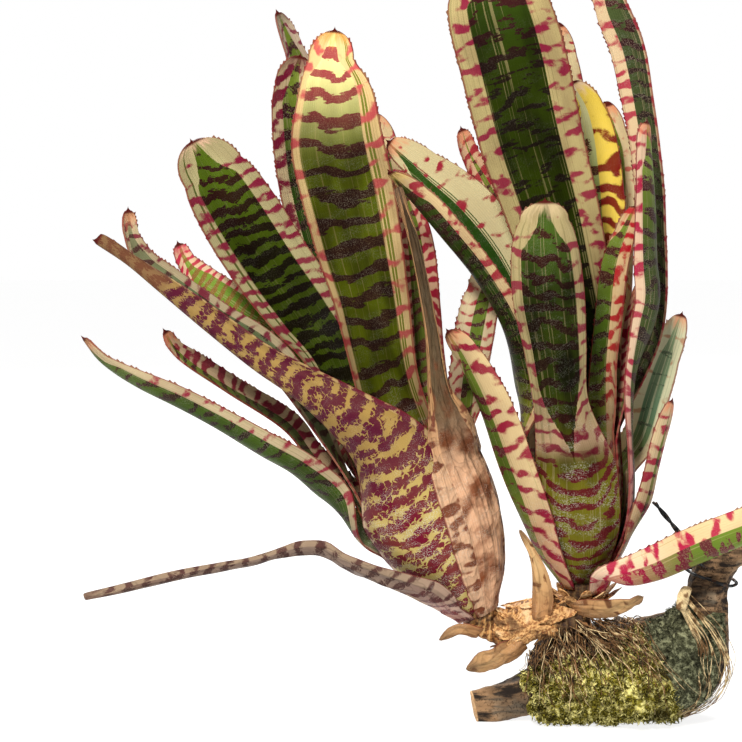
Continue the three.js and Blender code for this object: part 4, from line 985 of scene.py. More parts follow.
# %% The right rosette, its middle leaves
leaf(right_plant, "right_leaf_pale", "leaf_pale", layer=2, azimuth=66, wrap=22, sheath=72,
     inner=(-0.2, -0.95, 0.2), spines=False,
     look=dict(centre=(150, 160, 90), margin=(228, 212, 168), margin_bar=(200, 110, 96),
               stripe=(-0.4, 0.1), cover=0.2, margin_cover=0.2),
     blade=[(6, 191, 39, 8.5, 30), (8.5, 239, 46, 8.5, 30), (9, 268, 47, 8, 30), (6.5, 287, 47, 6, 30),
            (2, 300, 46, 1, 20)])
leaf(right_plant, "right_leaf_front", "leaf_green", taper=1.5, layer=2, azimuth=262, wrap=57, wrap_top=44,
     sheath=66, inner=(0, 1, 0.1),
     look=dict(centre=(64, 82, 12), foot=(140, 132, 36), crest=(92, 122, 44), margin=(206, 186, 132),
               margin_foot=(220, 176, 146), bar=(52, 16, 22), foot_bar=(120, 8, 40),
               margin_bar=(158, 50, 72), tip=(200, 176, 136), stripe=(-0.68, 0.68), slant=0.05, bow=-0.15,
               foot_bow=-1.5, blob=(14, 3.6), cover=0.48, lines=0.5, throat=34, specks=0.15, shade=0.84,
               foot_glow=0.2, scurf=0.3, sway=3.6, clear=12),
     blade=[(-18, 153, -27, 14.5, 50), (-21, 181, -30, 16, 46), (-24, 205, -33, 18, 42),
            (-26, 229, -36, 16.5, 42), (-26.5, 243, -37, 12, 42), (-26.5, 252.5, -37.5, 1, 20)])
leaf(right_plant, "right_leaf_side", "leaf_dark", layer=2, azimuth=353, wrap=31, wrap_top=23, sheath=72,
     inner_foot=(-0.95, 0.25, 0.1), inner=(-0.75, 0.6, 0.2),
     look=dict(centre=(66, 78, 36), foot=(88, 84, 44), margin=(214, 184, 152),
               margin_foot=(210, 140, 130), margin_bar=(164, 36, 66), bar=(40, 24, 28),
               stripe=(-0.6, 1.2), spacing=9, margin_cover=0.46, scurf=0.7, shade=0.2),
     blade=[(16.5, 167, -5, 9.5, 42), (23, 191, -6, 11.5, 44), (26.5, 207, -7, 12, 44),
            (25, 225, -7, 10.5, 42), (24, 253.5, -6, 9.5, 40), (23, 277.5, -4, 7.5, 38),
            (22.5, 290.5, -2, 1, 20)])
leaf(right_plant, "right_leaf_arching", "leaf_green", layer=2, azimuth=180, wrap=21, sheath=78,
     inner=(0.6, 0.45, 0.65),
     look=dict(centre=(52, 74, 22), foot=(160, 160, 46), crest=(66, 84, 28), margin=(218, 190, 140),
               margin_bar=(162, 34, 56), bar=(34, 22, 20), foot_bar=(84, 32, 30), stripe=(-1.2, 0.62),
               spacing=8, regular=0.3, cover=0.52, tip=(214, 180, 100), dry=3),
     blade=[(-36, 162, -1, 11.5, 40), (-44, 191, 0, 12.5, 45), (-57.5, 215, 2, 13, 48),
            (-74.5, 236.5, 3, 12.5, 48), (-89, 253.5, 1, 9.5, 44), (-101, 266.5, -3, 1, 20)])
leaf(right_plant, "right_leaf_red_tip", "leaf_marbled", layer=2, azimuth=128, wrap=15, sheath=76,
     inner=(0.2, -0.95, 0.2),
     look=dict(centre=(120, 112, 50), margin=(216, 176, 142), margin_bar=(160, 30, 52),
               stripe=(-0.2, 0.2), spacing=6, margin_cover=0.56),
     blade=[(-25, 181, 34, 7, 30), (-38.5, 229.5, 43, 7, 30), (-53, 258, 46, 6.5, 30),
            (-62.5, 275, 47, 5, 30), (-66.5, 287, 46, 1, 20)])
leaf(right_plant, "right_leaf_striped", "leaf_pale", layer=3, azimuth=150, wrap=30, sheath=76,
     inner=(0.3, -0.9, 0.3),
     look=dict(centre=(44, 80, 22), crest=(52, 88, 26), margin=(216, 206, 158), margin_bar=(160, 40, 58),
               bar=(44, 70, 24), stripe=(0.4, 1.2), spacing=12, cover=0.1, margin_cover=0.2, lines=0.5,
               margin_lines=0.1, pins=(0.34, 0.22), shade=0.35),
     blade=[(-26.5, 184, 17, 12, 44), (-38.5, 215, 20, 12.5, 34), (-50.5, 235.5, 22, 12.5, 28),
            (-66, 253.5, 24, 12, 24), (-84, 268, 25, 9.5, 22), (-101.5, 281, 24, 1, 16)])
leaf(right_plant, "right_leaf_yellow", "leaf_yellow", layer=3, azimuth=86, wrap=23, sheath=76,
     inner=(-0.1, -1, 0.1),
     look=dict(centre=(126, 146, 70), foot=(110, 124, 40), crest=(206, 204, 150), margin=(222, 194, 80),
               margin_bar=(112, 10, 18), bar=(60, 16, 26), stripe=(0.05, 0.75), spacing=9.5, cover=0.46,
               margin_cover=0.64, tip=(226, 196, 176), lines=0.5, clear=34, regular=0.7, shade=0.05),
     blade=[(2, 205.5, 29, 10.5, 34), (1.5, 244, 31, 11.5, 28), (-1.5, 277.5, 32, 10.5, 26),
            (-6, 296.5, 32, 8, 24), (-13.5, 309.5, 30, 1, 16)])

# %% [markdown]
# The tallest leaf of the plant has a dark green middle and broad cream margins with crimson blotches. Two
# short red-barred leaves are still opening beside it.

# %% The right rosette, its inner leaves
leaf(right_plant, "right_leaf_upper_right", "leaf_dark", layer=4, azimuth=37, wrap=25, sheath=78,
     inner=(-0.6, -0.8, 0.1),
     look=dict(centre=(66, 78, 44), foot=(88, 92, 46), crest=(78, 92, 52), margin=(216, 190, 150),
               margin_bar=(170, 44, 70), bar=(42, 28, 32), stripe=(-0.9, 0.35), spacing=8, slant=-0.5,
               margin_cover=0.46, scurf=0.7, shade=0.2),
     blade=[(24.5, 191, 23, 8.5, 38), (25, 244, 27, 8.5, 32), (22.5, 277.5, 30, 8.5, 30),
            (19, 301.5, 30, 9, 30), (14, 325.5, 27, 9.5, 30), (6, 346, 22, 9, 30),
            (-1, 368.5, 17, 1, 16)])
leaf(right_plant, "right_leaf_tallest", "leaf_green", layer=5, azimuth=92, wrap=50, sheath=76,
     inner=(0.05, -1, 0.1), inner_tip=(0.05, -0.9, -0.4),
     look=dict(centre=(56, 74, 4), foot=(88, 104, 30), crest=(60, 86, 20), margin=(210, 190, 130),
               margin_foot=(176, 130, 96), bar=(32, 16, 20), foot_bar=(76, 22, 36),
               margin_bar=(164, 40, 72), tip=(206, 140, 110), stripe=(-0.56, 0.6), spacing=11,
               regular=0.38, blob=(11, 2.6), cover=0.4, margin_cover=0.42, lines=0.5, specks=0.05,
               scurf=0.1, shade=0.72, glow=0.3, foot_glow=0),
     blade=[(-5, 167, 18, 16.5, 58), (-13.5, 205.5, 14, 20.5, 40), (-22.5, 244, 8, 23, 30),
            (-33.5, 282, 1, 25, 24), (-42.5, 320.5, -9, 25.5, 22), (-49.5, 345.5, -17, 24, 22),
            (-52.5, 358.5, -20, 19, 21), (-56, 372.5, -23, 1, 16)])
leaf(right_plant, "right_leaf_young", "leaf_marbled", layer=5, azimuth=0, wrap=26, sheath=74,
     inner=(-0.9, -0.2, 0.2), spines=False,
     look=dict(centre=(110, 104, 44), margin=(206, 154, 130), margin_bar=(150, 28, 48),
               stripe=(-0.2, 0.3), spacing=6, margin_cover=0.56),
     blade=[(13.5, 167, 2, 6, 40), (14.5, 186.5, 2, 5.5, 36), (16, 202, 2, 4, 30), (18, 212.5, 3, 1, 20)])
leaf(right_plant, "right_leaf_short_red", "leaf_marbled", layer=6, azimuth=25, wrap=36, sheath=78,
     inner=(-0.5, -0.75, 0.2),
     look=dict(centre=(78, 104, 28), margin=(216, 184, 136), margin_bar=(176, 24, 40), bar=(46, 26, 24),
               stripe=(0.0, 1.2), spacing=9, margin_cover=0.5, tip=(176, 40, 48)),
     blade=[(3, 172, 3, 8, 50), (4.5, 191, 0, 8, 42), (7.5, 220, -1, 7.5, 36), (13, 238, 1, 5.5, 32),
            (17.5, 250, 3, 1, 20)])

# %% [markdown]
# Torn leaf bases hang on round the runner. They are short strips of the same make, with a paper-dry look.

# %% Dry scraps at the feet
SCRAP_WRINKLE = 3.5
SCRAP_TAPER = 1.5
dry_look = dict(centre=(204, 162, 110), foot=(170, 120, 78), crest=(206, 172, 122),
                margin=(206, 166, 116), margin_foot=(140, 94, 60), bar=(124, 84, 52),
                foot_bar=(110, 70, 44), margin_bar=(104, 66, 44), tip=(112, 84, 62), regular=0.1,
                blob=(4, 6), cover=0.12, margin_cover=0.12, scurf=0.2, hard=0, shade=0, creased=0.8,
                soft=0.15, cells=0)


def scrap(name, slot, **shape):
    rows = strip_rows(blade_keys(shape), SCRAP_TAPER)
    add_leaf(name, slot, dry_look, rows, 0, SCRAP_WRINKLE, False, PAPER_THICKNESS)


scrap("dry_sheath_upright", "withered_tan", inner=(0.1, 1, 0),
      blade=[(-28.5, 51, -13, 4.8, 44), (-27.5, 61.5, -16, 5.4, 40), (-29, 73.5, -18, 4, 50),
             (-33, 84.5, -19, 2, 60), (-38.5, 94.5, -18, 0.4, 40)])
scrap("dry_sheath_under", "withered_tan", inner=(0, 0.9, 0.5),
      blade=[(-14, 57, -10.2, 4.5, 14), (-6, 55.5, -16.2, 6, 18), (6, 56, -21.2, 6, 20),
             (15.5, 59.5, -24.2, 3.2, 20), (20.5, 62.5, -24.2, 0.4, 10)])
scrap("dry_spike", "withered_grey", inner=(0.2, 0.8, 0.6),
      blade=[(-58, 44, -10.6, 4.8, 20), (-64, 46, -11.6, 4.6, 20), (-70, 46, -12.6, 3, 20),
             (-77, 42, -11.6, 0.4, 10)])
scrap("dry_stub", "withered_tan", inner=(0.2, 0.85, 0.5),
      blade=[(-36, 40.6, -8, 5, 24), (-45, 34.5, -10, 6.5, 24), (-54, 30.5, -11, 6.5, 24),
             (-64, 28, -11, 0.8, 10)])
# %% [markdown]
# Stems, wood, roots and wire are all round bars that bend. A bar starts as a disc; its end face is
# extruded from one point of a curve to the next, and each new ring of vertices is set to the bar's radius
# there.

# %% Bars grown along a curve
LUMPS = 0.12  # lumps in a mm of a knobbly bar


def curve_frames(points):
    """Directions along, up and to the front at each point, carried on without twist."""
    frames = []
    up = Vector((0, 0, 1))
    for i in range(len(points)):
        along = (points[min(i + 1, len(points) - 1)] - points[max(i - 1, 0)]).normalized()
        up = (up - along * up.dot(along)).normalized()
        frames.append((along, up, along.cross(up)))
    return frames


def grow_bar(points, radius_at, sides, frames=None):
    """A closed bar through the points. radius_at takes a point's number and an angle."""
    frames = frames or curve_frames(points)
    bm = bmesh.new()
    angle_of = bm.verts.layers.float.new("angle")
    bmesh.ops.create_circle(bm, cap_ends=True, segments=sides, radius=1.0)
    for vertex in bm.verts:
        vertex[angle_of] = math.atan2(vertex.co.y, vertex.co.x)
    cap = bm.faces[:][0]
    ring = bm.verts[:]
    for i, point in enumerate(points):
        if i:
            grown = bmesh.ops.extrude_face_region(bm, geom=[cap])["geom"]
            cap = next(part for part in grown if isinstance(part, bmesh.types.BMFace))
            ring = [part for part in grown if isinstance(part, bmesh.types.BMVert)]
        up, front = frames[i][1:]
        for vertex in ring:
            angle = vertex[angle_of]
            out = up * math.cos(angle) + front * math.sin(angle)
            vertex.co = point + out * radius_at(i, angle)
    bmesh.ops.recalc_face_normals(bm, faces=bm.faces[:])
    return bm


def gather(parts):
    """Puts several bmeshes into one."""
    whole = bmesh.new()
    for part in parts:
        held = mesh_of("held", part)
        whole.from_mesh(held)
        bpy.data.meshes.remove(held)
    return whole


def keyed_curve(keys, steps):
    """Points and radii along keys of across, up, depth and radius."""
    places = [n / steps for n in range((len(keys) - 1) * steps + 1)]
    middles = [seen(*key[:3]) for key in keys]
    radii = [key[3] for key in keys]
    return [(smooth(middles, u), smooth(radii, u)) for u in places]


def knobbly_bar(keys, steps, sides, roughness, seed, ring_depth=0.0, ring_step=3.0):
    """A bar with a lumpy skin and, if asked, rings round it like old leaf scars."""
    curve = keyed_curve(keys, steps)
    points = [point for point, radius in curve]

    def radius_at(i, angle):
        spot = points[i] * LUMPS + Vector((math.cos(angle), math.sin(angle), seed)) * 0.9
        fine = noise.noise(spot * 3.1) * 0.35
        reach = (points[i] - points[0]).length
        scar = ring_depth * max(0.0, math.sin(reach / ring_step * 2 * math.pi + noise.noise(spot) * 2)) ** 3
        return curve[i][1] * (1 + roughness * (noise.noise(spot) + fine) - scar)

    return grow_bar(points, radius_at, sides)


print("bars can be grown")

# %% [markdown]
# The driftwood is a thick bar with a sawn left end, an elbow and an arm that rises at the right. Its keys
# are across, up, depth and radius. The skin is a formula, so that moss and roots can be laid on it later.

# %% The driftwood's skin
WOOD_STEPS = 2
WOOD_NUDGE = 0.03  # how far from a point, in keys and in radians, the skin's slope is read
ROUND_NUDGE = 0.05
REST_CLEARANCE = 1.2  # mm from the floor to the lowest point that is laid on the wood
wood_keys = [
    (-61, 10, 0, 8), (-45.6, 13, 1, 9.3), (-26.4, 18.2, 2, 13.2), (-4.8, 23.5, 3, 18.5),
    (14.4, 25.5, 4, 23.5), (29.5, 29.2, 5, 26), (41.8, 41.2, 5, 21.5), (49.4, 55.7, 4, 13),
    (51.8, 68.6, 3, 9.8), (58.6, 82.6, 2, 10.5), (68.2, 88.8, 2, 12), (80.6, 90.7, 3, 11.3),
]
wood_middles = [seen(*key[:3]) for key in wood_keys]
wood_radii = [key[3] for key in wood_keys]
coarse = [point for point, radius in keyed_curve(wood_keys, WOOD_STEPS)]
coarse_frames = curve_frames(coarse)
WOOD_LAST = len(wood_keys) - 1


def wood_frame(place):
    """The wood's directions at a place along it, counted in keys."""
    at = held_in(place * WOOD_STEPS, 0, len(coarse) - 1.001)
    i = int(at)
    return [coarse_frames[i][n].lerp(coarse_frames[i + 1][n], at - i).normalized() for n in range(3)]


def wood_radius(place, angle):
    ridges = 0.05 * math.sin(3 * angle + 0.9 * place) + 0.04 * math.sin(5 * angle - 1.7 * place)
    knots = 0.05 * math.sin(2.3 * place + 1.1) * math.cos(2 * angle + 0.6)
    knob = 0.5 * math.exp(-((place - 0.45) ** 2) / 0.2) * max(0.0, -math.cos(angle)) ** 3
    return smooth(wood_radii, held_in(place, 0, WOOD_LAST)) * (1 + ridges + knots + knob)


def wood_skin(place, angle):
    place = held_in(place, 0, WOOD_LAST)
    up, front = wood_frame(place)[1:]
    out = up * math.cos(angle) + front * math.sin(angle)
    return smooth(wood_middles, place) + out * wood_radius(place, angle)


def wood_point(place, degrees, height):
    """A point over the wood, and the direction that is outward there. 0 degrees is up, 90 is the front."""
    angle = math.radians(degrees)
    point = wood_skin(place, angle)
    round_step = wood_skin(place, angle + ROUND_NUDGE) - point
    start = min(place, WOOD_LAST - WOOD_NUDGE)
    along_step = wood_skin(start + WOOD_NUDGE, angle) - wood_skin(start, angle)
    normal = round_step.cross(along_step).normalized()
    if normal.dot(point - smooth(wood_middles, held_in(place, 0, WOOD_LAST))) < 0:
        normal.negate()
    point = point + normal * height
    point.z = max(point.z, REST_CLEARANCE)
    return point, normal


print("the elbow's top lies at", placed(wood_point(5, 0, 0)[0]))

# %% [markdown]
# The finished log has ridges along the grain and finer furrows, from noise that is drawn out along the
# wood. Two stubs are grown separately.

# %% The log and its stubs
FURROW = 1.6  # mm from the crest of a furrow to its bed
LOG_SIDES = 72
LOG_STEPS = 14
STUB_STEPS = 10


def bark(place, angle):
    """Height of the furrows: noise stretched along the grain, with a finer layer on it."""
    spot = Vector((math.cos(angle) * 3.4, math.sin(angle) * 3.4, place * 0.8))
    crest = 1 - abs(noise.noise(spot)) * 2.6
    fine = noise.noise(spot * 3.7) * 0.5 + noise.noise(spot * 9.0) * 0.25
    return FURROW * (0.5 * crest + fine - 0.5)


def log_radius(i, angle):
    """The bark's furrows stop at the sawn end."""
    return wood_radius(log_places[i], angle) + (bark(log_places[i], angle) if i else 0.0)


log_middles = [point for point, radius in keyed_curve(wood_keys, LOG_STEPS)]
log_places = [i / LOG_STEPS for i in range(len(log_middles))]
log = grow_bar(log_middles, log_radius, LOG_SIDES, [wood_frame(place) for place in log_places])
back_stub = knobbly_bar([
    (-27, 17, 4, 8.5), (-27, 14, 18, 8), (-25, 9, 32, 7.5), (-24, 6, 44, 7.5),
], STUB_STEPS, sides=30, roughness=0.16, seed=53)
broken_stub = knobbly_bar([
    (60, 84, 2, 5), (57, 92, 6, 4.5), (55.5, 99, 9, 3.4),
], STUB_STEPS, sides=24, roughness=0.3, seed=59)
print("log, back stub and broken stub are grown")

# %% [markdown]
# A voxel remesh makes one skin of the three, which a Boolean would do too, but less reliably on rough
# bark. A flat cut gives the wood the face it rests on.

# %% One skin for the driftwood
WOOD_VOXEL = 0.9
REST_CUT = 0.02  # mm over the floor at which the wood is cut flat


def one_skin(bm, voxel):
    """The outer skin of everything in a bmesh, as a new bmesh."""
    held = mesh_of("held", bm)
    worker = add_object("worker", held)
    remesh = worker.modifiers.new("skin", "REMESH")
    remesh.mode = "VOXEL"
    remesh.voxel_size = voxel
    graph = bpy.context.evaluated_depsgraph_get()
    skinned = bpy.data.meshes.new_from_object(worker.evaluated_get(graph))
    made = bmesh.new()
    made.from_mesh(skinned)
    bpy.data.objects.remove(worker)
    bpy.data.meshes.remove(held)
    bpy.data.meshes.remove(skinned)
    return made


wood = one_skin(gather([log, back_stub, broken_stub]), WOOD_VOXEL)
cut = bmesh.ops.bisect_plane(
    wood, geom=wood.verts[:] + wood.edges[:] + wood.faces[:], plane_co=(0, 0, REST_CUT), plane_no=(0, 0, 1),
    clear_inner=True,
)
rim = [part for part in cut["geom_cut"] if isinstance(part, bmesh.types.BMEdge)]
bmesh.ops.contextual_create(wood, geom=rim)
bmesh.ops.recalc_face_normals(wood, faces=wood.faces[:])
print("driftwood has", len(wood.faces), "faces")

# %% [markdown]
# The wood is weathered bark in brown and grey, with darker furrows. Its left end was sawn, and shows pale
# tan wood with faint rings. The sawn face is found by its place: how far a point lies along the log from
# the cut.

# %% The driftwood's finish
LOG_START = placed(wood_middles[0])
LOG_AXIS = (wood_middles[1] - wood_middles[0]).normalized()
GRAIN_TILT = (0.0, 0.35, 0.0)
GRAIN_STRETCH = (60.0, 420.0, 420.0)
YEAR_RINGS = 5200  # radians of the rings' sine in a metre


def wood_finish():
    paint, patches, pits, wide = grained("driftwood_bark", (3.0, 70.0), (4.0, 900.0), (3.0, 36.0))
    place = paint.place()
    stretch = {"Vector": place, "Rotation": GRAIN_TILT, "Scale": GRAIN_STRETCH}
    streaks = paint.cloud(paint.node("ShaderNodeMapping", None, stretch), 4.0)
    rise = streaks * 0.6 + patches * 0.25 + pits * 0.15
    body = paint.colour(tone(30, 20, 13), tone(150, 118, 86), rise.rise(0.42, 0.6))
    body = paint.colour(body, tone(186, 168, 142), patches.rise(0.54, 0.7) * 0.5)
    body = paint.colour(body, tone(24, 17, 13), pits.rise(0.54, 0.64) * 0.8)
    body = paint.colour(body, tone(30, 22, 16), wide.rise(0.48, 0.64) * 0.7)

    def vector_math(operation, *values, output=1):
        return paint.node("ShaderNodeVectorMath", {"operation": operation}, dict(enumerate(values)), output)

    offset = vector_math("SUBTRACT", place, LOG_START[:], output=0)
    depth = vector_math("DOT_PRODUCT", offset, LOG_AXIS[:])
    length = vector_math("LENGTH", offset)
    # Lighter bark for 2 cm behind the sawn end: a paler rim, and painted light.
    pale_rim_and_light = depth.rise(0.02, 0.004) * streaks.rise(0.46, 0.56)
    body = paint.colour(body, tone(182, 140, 98), pale_rim_and_light * 0.3)
    sawn = depth.rise(0.0012, 0.0006)
    rings = ((length + (patches - 0.5) * 0.002) * YEAR_RINGS).sine() * 0.5 + 0.5
    end_grain = paint.colour(tone(226, 188, 142), tone(170, 126, 84), rings * 0.6 + pits * 0.4)
    body = paint.colour(body, end_grain, sawn)
    height = rise * (1 - sawn) + rings * sawn * 0.3
    return paint.close(body, 0.8 + pits * 0.15, height, 0.0016, Specular_IOR_Level=0.3)


add_piece("driftwood_log", wood, wood_finish(), "wood_brown", "driftwood")

# %% [markdown]
# The runner is a ringed woody stem between the two rosettes, with a crown of knobs that the roots start
# from. A stem under each rosette is turned on a lathe, which in bmesh is a spin of its profile.

# %% The rhizome's shape
SHEATH_INSET = LEAF_THICKNESS / 2 + 0.5
STEM_FOOT = -8
STEM_FOOT_RADIUS = 6.5
STEM_TOP = 21
STEM_TOP_RADIUS = 4.5
STEM_SIDES = 48
RUNNER_STEPS = 22
RHIZOME_VOXEL = 0.6


def turned_stem(plant):
    """The stem's profile, spun about the rosette's axis."""
    outline = [(0, STEM_FOOT), (STEM_FOOT_RADIUS, STEM_FOOT)]
    for height in range(-FOOT_STEP, STEM_TOP, FOOT_STEP):
        layer = max(height / FOOT_STEP, 0)
        outline.append((table_value(plant.profile, height) - layer * LAYER_SPACING - SHEATH_INSET, height))
    outline += [(STEM_TOP_RADIUS, STEM_TOP), (0, STEM_TOP + FOOT_STEP)]
    bm = bmesh.new()
    foot, right, axis = plant.foot, plant.right, plant.axis
    points = [bm.verts.new(foot + right * radius + axis * high) for radius, high in outline]
    edges = [bm.edges.new(pair) for pair in zip(points, points[1:])]
    bmesh.ops.spin(bm, geom=points + edges, cent=foot, axis=axis, angle=2 * math.pi, steps=STEM_SIDES,
                   use_merge=True)
    bmesh.ops.remove_doubles(bm, verts=bm.verts[:], dist=0.01)
    bmesh.ops.recalc_face_normals(bm, faces=bm.faces[:])
    return bm


runner_keys = [
    (-57, 50, 0, 7), (-47, 47.5, 0, 8), (-36, 51, -1, 9.5), (-25, 54, -1, 9.5), (-15, 54.5, 0, 8.5),
    (-6, 55, 0, 7),
]
runner = knobbly_bar(runner_keys, RUNNER_STEPS, sides=40, roughness=0.14, seed=41, ring_depth=0.1,
                     ring_step=3.4)
crown = knobbly_bar([
    (-36, 47, -4, 3), (-26, 48, -6, 5), (-16, 50, -6, 5), (-9, 52, -5, 4),
], STUB_STEPS, sides=24, roughness=0.3, seed=47)
stems = [turned_stem(left_plant), turned_stem(right_plant)]
rhizome = one_skin(gather([runner, crown, *stems]), RHIZOME_VOXEL)
print("rhizome has", len(rhizome.faces), "faces")

# %% [markdown]
# The runner is straw-brown wood with paler rings where old leaves sat. Under the right rosette it is
# painted dark, for the old roots that cover it and as painted shade.

# %% The rhizome's finish
SCAR_STEP = 0.0034
CROWN_SHADE = -0.046  # across, in metres: right of it the rhizome is painted dark, for old roots and as painted shade
FIBRE_STRETCH = (420.0, 260.0, 700.0)


def rhizome_finish():
    paint, patches, stray = grained("rhizome_straw_brown", (3.0, 120.0), (3.0, 80.0))
    place = paint.place()
    stretch = {"Vector": place, "Scale": FIBRE_STRETCH}
    fibres = paint.cloud(paint.node("ShaderNodeMapping", None, stretch), 4.0)
    spot = paint.node("ShaderNodeSeparateXYZ", None, {"Vector": place})
    rings = (spot + (stray - 0.5) * 0.01).wave(SCAR_STEP)
    body = paint.colour(tone(112, 68, 34), tone(200, 144, 84), fibres.rise(0.4, 0.58))
    body = paint.colour(body, tone(226, 184, 122), rings.rise(0.7, 1.0) * 0.6)
    body = paint.colour(body, tone(58, 34, 20), rings.rise(0.25, 0.0) * 0.6)
    body = paint.colour(body, tone(48, 30, 20), patches.rise(0.52, 0.66) * 0.7)
    # Painted dark right of the crown: old roots, and painted shade under the right rosette.
    body = paint.colour(body, tone(36, 24, 16), spot.rise(CROWN_SHADE, CROWN_SHADE + 0.006) * 0.85)
    height = fibres * 0.4 + rings * 0.4 + patches * 0.2
    return paint.close(body, 0.65 + fibres * 0.2, height, 0.0012, Specular_IOR_Level=0.3)


add_piece("rhizome_runner", rhizome, rhizome_finish(), "rhizome_brown", "rhizome")

# %% [markdown]
# Torn leaf bases cling to the runner and stand in a collar under the right rosette. Each is a short
# pointed strip of paper: it starts on the skin of the stem, bends round it, and only its tip stands off.

# %% Papery scales
UP = Vector((0, 0, 1))
FRONT = Vector((0, -1, 0))
SCALE_LIFTS = (0.3, 0.8, 1.5, 3.4)  # mm off the stem at a scale's four stations
SCALE_WIDTHS = (0.8, 1.0, 0.7, 0.12)
SCALE_WRINKLE = 4.0
RUNNER_SCALES = 46
RUNNER_STARTS = (34, 92)  # points of the runner's curve between which scales start
RUNNER_STRIDES = (8, 12)  # points from one station of a scale to the next
RUNNER_ROUND = (-60, 250)  # degrees round the runner, where 0 is up and 90 the front
COLLAR_SCALES = 13
COLLAR = ((-11, 7.6), (-6, 8.6), (-1, 11), (3.5, 14))  # heights on the stem, and radii


def paper_scale(stations, width, seed):
    """A strip over stations: a point on the stem's axis, the way outward and the distance from the axis."""
    keys = []
    for (middle, out, radius), lift, share in zip(stations, SCALE_LIFTS, SCALE_WIDTHS):
        half = width * share
        keys.append(Row(middle + out * (radius + lift), None, -out, half, half / radius))
    return leaf_mesh(strip_rows(aim_rows(keys), 1.4), False, seed, SCALE_WRINKLE, PAPER_THICKNESS)[0]


def paper_finish():
    paint, fine, patches = grained("paper_scales", (4.0, 900.0), (3.0, 130.0))
    body = paint.colour(tone(214, 166, 108), tone(150, 98, 56), fine.rise(0.42, 0.62))
    body = paint.colour(body, tone(84, 54, 32), patches.rise(0.5, 0.64) * 0.8)
    body = paint.colour(body, tone(236, 206, 160), patches.rise(0.44, 0.34) * 0.6)
    return paint.close(body, 0.6 + fine * 0.2, fine * 0.5 + patches * 0.5, 0.0008, Specular_IOR_Level=0.25)


draws = seeded(61)
runner_curve = keyed_curve(runner_keys, RUNNER_STEPS)
paper_parts = []
for n in range(RUNNER_SCALES):
    first = int(mix(*RUNNER_STARTS, next(draws)))
    stride = int(mix(*RUNNER_STRIDES, next(draws))) * (1 if next(draws) < 0.35 else -1)
    angle = math.radians(mix(*RUNNER_ROUND, next(draws)))
    out = UP * math.cos(angle) + FRONT * math.sin(angle)
    spots = [runner_curve[held_in(first + stride * k, k, len(runner_curve) - 4 + k)] for k in range(4)]
    stations = [(middle, out, radius) for middle, radius in spots]
    paper_parts.append(paper_scale(stations, mix(2.6, 4.6, next(draws)), n + 700))
for n in range(COLLAR_SCALES):
    azimuth = math.radians(n * 360 / COLLAR_SCALES + mix(-8, 8, next(draws)))
    shift = mix(-2, 1.5, next(draws))
    flare = mix(0.9, 1.2, next(draws))
    stations = [(right_plant.foot + right_plant.axis * (high + shift), right_plant.outward(azimuth),
                 radius * (flare if high > -2 else 1)) for high, radius in COLLAR]
    paper_parts.append(paper_scale(stations, mix(3, 5, next(draws)), n + 800))
add_piece("rhizome_scales", gather(paper_parts), paper_finish(), "rhizome_brown", "rhizome")

# %% [markdown]
# Moss is a cushion with thousands of small curled shoots on it. The cushion is a grid laid over the wood
# and extruded down into it.

# %% Cushions
PAD_FOOT = -1.8  # mm from the wood's skin to the underside of a cushion
PAD_LEAST = 0.6  # mm that a cushion is thick at least


def cushion(along, around, rise_at, rows=60, columns=46):
    """A closed pad over a stretch of the wood. rise_at gives its height at shares along and round."""

    def lay(vertices, height_at):
        for vertex in vertices:
            s, t = (vertex.co.y + 1) / 2, (vertex.co.x + 1) / 2
            vertex.co = wood_point(mix(*along, s), mix(*around, t), height_at(s, t))[0]

    bm = bmesh.new()
    bmesh.ops.create_grid(bm, x_segments=columns, y_segments=rows, size=1.0)
    upper = bm.verts[:]
    lower = bmesh.ops.extrude_face_region(bm, geom=bm.faces[:], use_keep_orig=True)["geom"]
    lay([part for part in lower if isinstance(part, bmesh.types.BMVert)], lambda s, t: PAD_FOOT)
    lay(upper, lambda s, t: max(rise_at(s, t), PAD_FOOT + PAD_LEAST))
    bmesh.ops.recalc_face_normals(bm, faces=bm.faces[:])
    return bm


def swell(s, t, seed, size=5.0):
    """Lumps inside a ragged outline, and below 0 outside it."""
    edge = min(math.sin(math.pi * s), math.sin(math.pi * t))
    spot = Vector((s * size, t * size, seed))
    ragged = edge * 1.7 - 0.28 + 0.55 * noise.noise(spot * 0.7) + 0.3 * noise.noise(spot * 2.1)
    if ragged < 0:
        return max(ragged * 2, -0.5)
    lumps = 0.8 + 0.5 * noise.noise(spot) + 0.25 * noise.noise(spot * 3.0)
    return min(1.0, math.sqrt(ragged)) * lumps


# %% [markdown]
# A shoot is a thin three-sided cone that is bent over; a few bent shapes are made once and set down again
# and again, each turned and scaled by its own draw. That is lighter than bending every shoot by itself.

# %% Shoots
SHOOT_STEPS = 5
SHOOT_SIDES = 3
SHOOT_FOOT = -0.4
SHOOT_TAPER = 0.85


def shoot_mesh(length, thickness, curl, steps=SHOOT_STEPS):
    """A thin cone that stands on the origin and bends over by curl radians."""
    points = []
    here = Vector((0, 0, SHOOT_FOOT))
    for n in range(steps + 1):
        points.append(here.copy())
        lean = curl * (n / steps) ** 1.3
        here += Vector((math.sin(lean), 0, math.cos(lean))) * (length / steps)
    frames = [(None, Vector((1, 0, 0)), Vector((0, 1, 0)))] * (steps + 1)
    bm = grow_bar(points, lambda i, angle: thickness * (1 - SHOOT_TAPER * i / steps), SHOOT_SIDES, frames)
    return mesh_of("shoot", bm)


def set_down(whole, shapes, spots):
    """Adds a copy of a shape at each spot: place, outward direction, turn, scale and the shape's number."""
    for point, normal, turn, scale, number in spots:
        upright = Vector((0, 0, 1)).rotation_difference(normal).to_matrix().to_4x4()
        matrix = Matrix.Translation(point) @ upright
        matrix = matrix @ Matrix.Rotation(turn, 4, "Z") @ Matrix.Scale(scale, 4)
        shape = shapes[number]
        shape.transform(matrix)
        whole.from_mesh(shape)
        shape.transform(matrix.inverted())
    return whole


